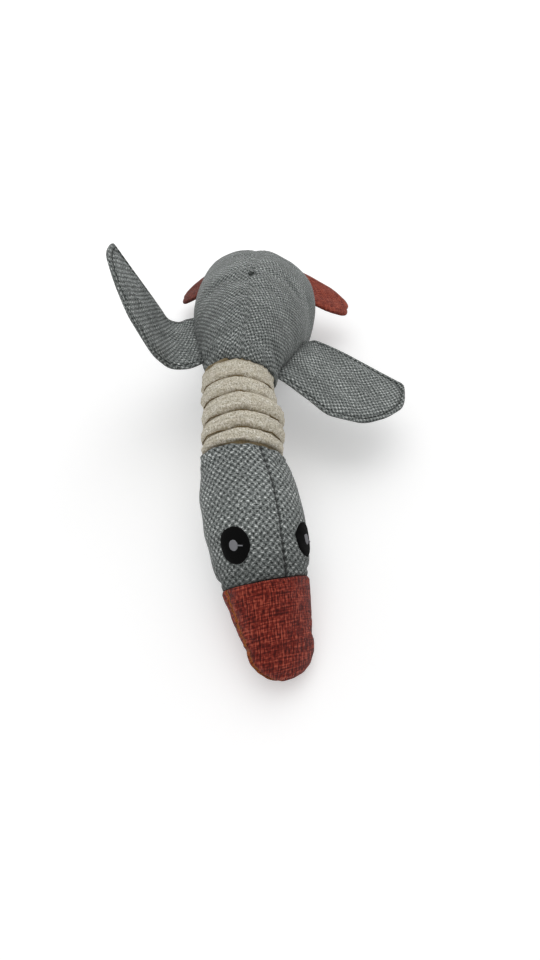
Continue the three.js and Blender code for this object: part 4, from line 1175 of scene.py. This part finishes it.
def build_eyes(points):
    """Each eye: a black felt oval, a grey embroidered oval on it and one loose light stitch."""
    for side, place in EYES.items():
        name, kind = f"eye_{side}_felt", "black_felt"
        disc = eye_patch(name, points, place, kind, size=(16.6, 18.3), rise=0.1, thick=1.2)
        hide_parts(f"eye_{side}_disc")
        name, kind = f"eye_{side}_light", "grey_embroidery"
        light = eye_patch(name, points, place, kind, size=(4.6, 5.5), rise=1.25, thick=0.35)
        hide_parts(f"eye_{side}_highlight")
        start, length, slope = 2.1, 2.6, 0.25
        aside = start + np.linspace(0, length, 9)
        on, out = on_head(points, place, slope * aside, aside)
        tick = joined(f"eye_{side}_stitch", [sewn(on, out, radius=0.33, low=1.5)], kind)
        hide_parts(f"eye_{side}_thread")
        for made in (disc, light, tick):
            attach(made, "head")


def limb_blend(made, pose):
    """Finds where a limb roots on the trunk, which nothing uses, and bakes the limb's place into
    its mesh.
    """
    root, out, _, _ = limb_root(pose)
    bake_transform(made)


def build_wings():
    """Each wing: a thin filled paddle, and its topstitching inside the edge."""
    puff = settings().wing_puff
    run = np.concatenate([np.linspace(-WING_OVERLAP / WING_LENGTH, -0.004, 7), wing_runs(1.1)])
    across = np.cos(round_angles(WING_COLUMNS))
    _, _, inset = limb_edges(wing_halves, WING_LENGTH, run[:, None], across)
    # Painted shade: darker where each wing goes into the trunk, along the topstitch's dent and at
    # the rounded edge
    root = 0.5 * (1 - ramp(run, 0.0, 0.06))[:, None]
    shade = 0.35 * bell(inset - TOPSTITCH_INSET, 0.7) * ramp(run, 0, 0.05)[:, None]
    shade = shade + root + 0.12 * (1 - ramp(inset, 0, 2.5))
    for name, pose in WING_POSES.items():
        points = limb_grid(wing_points, pose, np.clip(run, -1, 0.9996), WING_COLUMNS, puff)
        grain = math.radians(pose["grain"])
        made = grid_object(
            f"wing_{name}_paddle",
            points,
            "grey_linen_cloth",
            cloth_uv(points, grain, grain, LIMBS_APART, limb=True) * pose["fine"],
            {"shade": np.clip(shade, 0, DARKEST)},
            zipped=True,
            flip=pose["side"] < 0,
        )
        limb_blend(made, pose)
        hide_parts(*(f"wing_{name}_{layer}" for layer in ("upper", "lower", "filling")))
        stitches = build_topstitch(name, pose, puff)
        limb_blend(stitches, pose)


def wing_runs(step):
    """Shares of a wing's length at places about `step` mm apart along its front edge."""
    t = np.linspace(0, 1, LINE_STEPS)
    run = 1 - (1 - t) ** 2
    gap = run_along(np.stack([run * WING_LENGTH, wing_halves(run)[0]], 1))
    count = int(round(gap[-1] / step))
    return 1 - (1 - np.interp(np.linspace(0, gap[-1], count + 1), gap, t)) ** 2


def build_topstitch(name, pose, puff):
    """Dashes of thread on both faces of a wing, just inside its edge."""
    run = 1 - (1 - np.linspace(0.02, 0.9995, 900)) ** 2
    sides = []
    for half in wing_halves(run):
        outline = np.stack([run * WING_LENGTH, half], 1)
        step = unit(np.gradient(outline, axis=0))
        inner = outline - np.stack([-step[:, 1], step[:, 0]], 1) * TOPSTITCH_INSET
        sides.append(inner[inner[:, 1] > 0.3])
    line = np.concatenate([sides[0], sides[1][::-1] * [1, -1]])
    gap = run_along(line)
    length, pitch = TOP_STITCH
    grids = []
    for level in (1.0, -1.0):
        for start in np.arange(1.0, gap[-1] - 3, pitch):
            place = np.linspace(start, start + length, 6)
            x, y = np.interp(place, gap, line[:, 0]), np.interp(place, gap, line[:, 1])
            front, back = wing_halves(x / WING_LENGTH)
            across = y / np.where(y > 0, front, back)
            spot = (x / WING_LENGTH)[:, None], across[:, None], np.full((6, 1), level)
            on, over = (wing_points(pose, *spot, thick)[:, 0] for thick in (puff, puff + 2))
            grids.append(sewn(on, unit(over - on), radius=0.26, low=0.1, rise=0.2, sides=6))
    made = joined(f"wing_{name}_stitches", grids, "dark_thread")
    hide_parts(f"wing_{name}_topstitch")
    return made


def build_feet():
    """Each foot: a flat two-layer flap with a two-lobed end."""
    options = settings()
    end = 1 - 0.1 * (1 - np.linspace(0.1, 1, 16)) ** 2
    run = np.concatenate([np.linspace(-FOOT_OVERLAP / FOOT_LENGTH, 0.9, 34), end])
    across = np.cos(round_angles(FOOT_COLUMNS))
    _, _, inset = limb_edges(foot_halves, FOOT_LENGTH, run[:, None], across)
    # Painted shade: darker along the feet's edges and towards their roots at the trunk
    shade = 0.25 * bell(inset, 0.5) + 0.15 * (1 - ramp(run, 0, 0.12))[:, None]
    grain = math.radians(options.foot_grain)
    for name, pose in FOOT_POSES.items():
        points = limb_grid(foot_points, pose, run, FOOT_COLUMNS, options.foot_puff)
        # The pose's dark share is painted shadow over the whole foot
        made = grid_object(
            f"foot_{name}_flap",
            points,
            "red_foot_cloth",
            cloth_uv(points, grain, grain, LIMBS_APART, limb=True),
            {"shade": np.clip(shade + pose["dark"], 0, DARKEST), "seam": 0},
            zipped=True,
            flip=pose["side"] < 0,
        )
        limb_blend(made, pose)
        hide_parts(f"foot_{name}_top", f"foot_{name}_bottom")


def build_squeaker():
    """Materials for the squeaker's CAD nodes, which stay as they are inside the trunk."""
    kinds = {
        "squeaker_bellows": ("squeaker_rubber", "rubber"),
        "squeaker_whistle": ("whistle_plastic", "plastic"),
        "squeaker_reed": ("whistle_plastic", "plastic"),
    }
    for name, (kind, slot) in kinds.items():
        made = frame["nodes"][name]
        made.data.materials.clear()
        made.data.materials.append(material_of(kind))


def build_floor():
    """A pale floor that the camera sees turn white further away."""
    mesh = bpy.data.meshes.new("floor")
    corners = np.array([(-1, -1, 0), (1, -1, 0), (1, 1, 0), (-1, 1, 0)]) * FLOOR_REACH
    mesh.from_pydata(corners.tolist(), [], [(0, 1, 2, 3)])
    material, tree, shader = new_material("white_floor", 0.9)
    shader.inputs["Base Color"].default_value = (0.9, 0.9, 0.9, 1)
    path = node(tree, "ShaderNodeLightPath")
    seen = calc(tree, "MAXIMUM", path.outputs["Is Camera Ray"], path.outputs["Is Glossy Ray"])
    seen = calc(tree, "MAXIMUM", seen, path.outputs["Is Transmission Ray"])
    place = node(tree, "ShaderNodeTexCoord").outputs["Object"]
    away = node(tree, "ShaderNodeVectorMath", {0: place}, operation="LENGTH").outputs["Value"]
    glow = calc(tree, "MULTIPLY", seen, ranged(tree, away, 0.2, 0.8, 0.27, 1.0))
    tree.links.new(glow, shader.inputs["Emission Strength"])
    shader.inputs["Emission Color"].default_value = (1, 1, 1, 1)
    mesh.materials.append(material)
    floor = bpy.data.objects.new("floor", mesh)
    bpy.context.scene.collection.objects.link(floor)


def build_lights():
    """A white world, brighter to the camera, and two soft lights that face the toy."""
    scene = bpy.context.scene
    world = bpy.data.worlds.new("studio")
    world.use_nodes = True
    tree = world.node_tree
    background = tree.nodes["Background"]
    seen = node(tree, "ShaderNodeLightPath").outputs["Is Camera Ray"]
    strength = calc(tree, "MULTIPLY_ADD", seen, 0.45, settings().fill_light)
    background.inputs["Color"].default_value = (1, 1, 1, 1)
    tree.links.new(strength, background.inputs["Strength"])
    scene.world = world
    for name, place, size, power in (
        ("key", (0.05, 0.42, 1.0), 1.2, settings().key_light),
        ("top", (-0.35, -0.1, 1.1), 1.2, settings().key_light * 0.4),
    ):
        lamp = bpy.data.lights.new(name, "AREA")
        lamp.size = size
        lamp.energy = power
        light = bpy.data.objects.new(name, lamp)
        light.location = place
        aim = np.array([0, 0, 0.03]) - np.array(place)
        light.rotation_euler = (
            math.acos(-aim[2] / np.linalg.norm(aim)),
            0,
            math.atan2(aim[1], aim[0]) - math.pi / 2,
        )
        scene.collection.objects.link(light)


def build_camera():
    """The camera that fits the photograph."""
    scene = bpy.context.scene
    lens = bpy.data.cameras.new("camera")
    lens.lens = CAMERA_LENS
    lens.sensor_width = SENSOR
    lens.clip_start = 0.01
    camera = bpy.data.objects.new("camera", lens)
    camera.location = (CAMERA_PLACE + OFFSET) * MM
    camera.rotation_euler = (math.radians(CAMERA_TILT), 0, 0)
    scene.collection.objects.link(camera)
    scene.camera = camera
    scene.view_settings.view_transform = "Standard"


# The add-on


class GooseToySettings(bpy.types.PropertyGroup):
    """Sizes and strengths that the operators read."""

    pressure: bpy.props.FloatProperty(
        name="Cloth pressure", description="The stuffing's push in the cloth trials", default=4.0
    )
    largest_move: bpy.props.FloatProperty(
        name="Largest move", description="Most that a cloth trial moves a point, mm", default=2.2
    )
    stitch_share: bpy.props.FloatProperty(
        name="Closing stitch", description="Its place along the trunk, a share", default=0.648
    )
    trunk_grain: bpy.props.FloatProperty(
        name="Trunk grain", description="Turn of the trunk's threads, degrees", default=-1.0
    )
    head_grain: bpy.props.FloatProperty(
        name="Head grain", description="Turn of the head's threads, degrees", default=0.0
    )
    foot_grain: bpy.props.FloatProperty(
        name="Foot grain", description="Turn of the feet's threads, degrees", default=30.0
    )
    wing_puff: bpy.props.FloatProperty(
        name="Wing puff", description="Half of a wing's thickness, mm", default=1.55
    )
    foot_puff: bpy.props.FloatProperty(
        name="Foot puff", description="Half of a foot's thickness, mm", default=1.7
    )
    fill_light: bpy.props.FloatProperty(
        name="Fill light", description="Strength of the world's light", default=0.55
    )
    key_light: bpy.props.FloatProperty(
        name="Key light", description="Power of the key light", default=4.2, unit="POWER"
    )


class BuildTrunk(bpy.types.Operator):
    """Builds the trunk's cloth and its closing stitch."""

    bl_idname = "goose_toy.build_trunk"
    bl_label = "Trunk"

    def execute(self, context):
        build_trunk()
        return {"FINISHED"}


class BuildNeck(bpy.types.Operator):
    """Builds the neck's plush ribs and gather threads."""

    bl_idname = "goose_toy.build_neck"
    bl_label = "Neck"

    def execute(self, context):
        build_neck()
        return {"FINISHED"}


class BuildHead(bpy.types.Operator):
    """Builds the head's cloth and its eyes."""

    bl_idname = "goose_toy.build_head"
    bl_label = "Head and eyes"

    def execute(self, context):
        build_eyes(build_head())
        return {"FINISHED"}


class BuildBill(bpy.types.Operator):
    """Builds the bill's cloth and its edge stitches."""

    bl_idname = "goose_toy.build_bill"
    bl_label = "Bill"

    def execute(self, context):
        build_bill()
        return {"FINISHED"}


class BuildWings(bpy.types.Operator):
    """Builds both wings and their topstitching."""

    bl_idname = "goose_toy.build_wings"
    bl_label = "Wings"

    def execute(self, context):
        build_wings()
        return {"FINISHED"}


class BuildFeet(bpy.types.Operator):
    """Builds both feet."""

    bl_idname = "goose_toy.build_feet"
    bl_label = "Feet"

    def execute(self, context):
        build_feet()
        return {"FINISHED"}


class FinishSqueaker(bpy.types.Operator):
    """Gives the squeaker inside the trunk its materials."""

    bl_idname = "goose_toy.finish_squeaker"
    bl_label = "Squeaker"

    def execute(self, context):
        build_squeaker()
        return {"FINISHED"}


class BuildStage(bpy.types.Operator):
    """Builds the floor, the lights and the camera."""

    bl_idname = "goose_toy.build_stage"
    bl_label = "Stage"

    def execute(self, context):
        build_floor()
        build_lights()
        build_camera()
        return {"FINISHED"}


OPERATORS = (
    BuildTrunk,
    BuildNeck,
    BuildHead,
    BuildBill,
    BuildWings,
    BuildFeet,
    FinishSqueaker,
    BuildStage,
)


class GooseToyPanel(bpy.types.Panel):
    """Lists the operators and settings in the 3D view's sidebar."""

    bl_idname = "VIEW3D_PT_goose_toy"
    bl_label = "Goose toy"
    bl_space_type = "VIEW_3D"
    bl_region_type = "UI"
    bl_category = "Goose toy"

    def draw(self, context):
        for operator in OPERATORS:
            self.layout.operator(operator.bl_idname)
        for name in GooseToySettings.__annotations__:
            self.layout.prop(context.scene.goose_toy, name)


def register():
    """Adds the add-on's classes and its settings."""
    for cls in (GooseToySettings, *OPERATORS, GooseToyPanel):
        bpy.utils.register_class(cls)
    bpy.types.Scene.goose_toy = bpy.props.PointerProperty(type=GooseToySettings)


def unregister():
    """Takes the add-on's settings and classes away."""
    del bpy.types.Scene.goose_toy
    for cls in reversed((GooseToySettings, *OPERATORS, GooseToyPanel)):
        bpy.utils.unregister_class(cls)


def main():
    register()
    for operator in OPERATORS:
        group, name = operator.bl_idname.split(".")
        getattr(getattr(bpy.ops, group), name)()


if __name__ == "__main__":
    main()
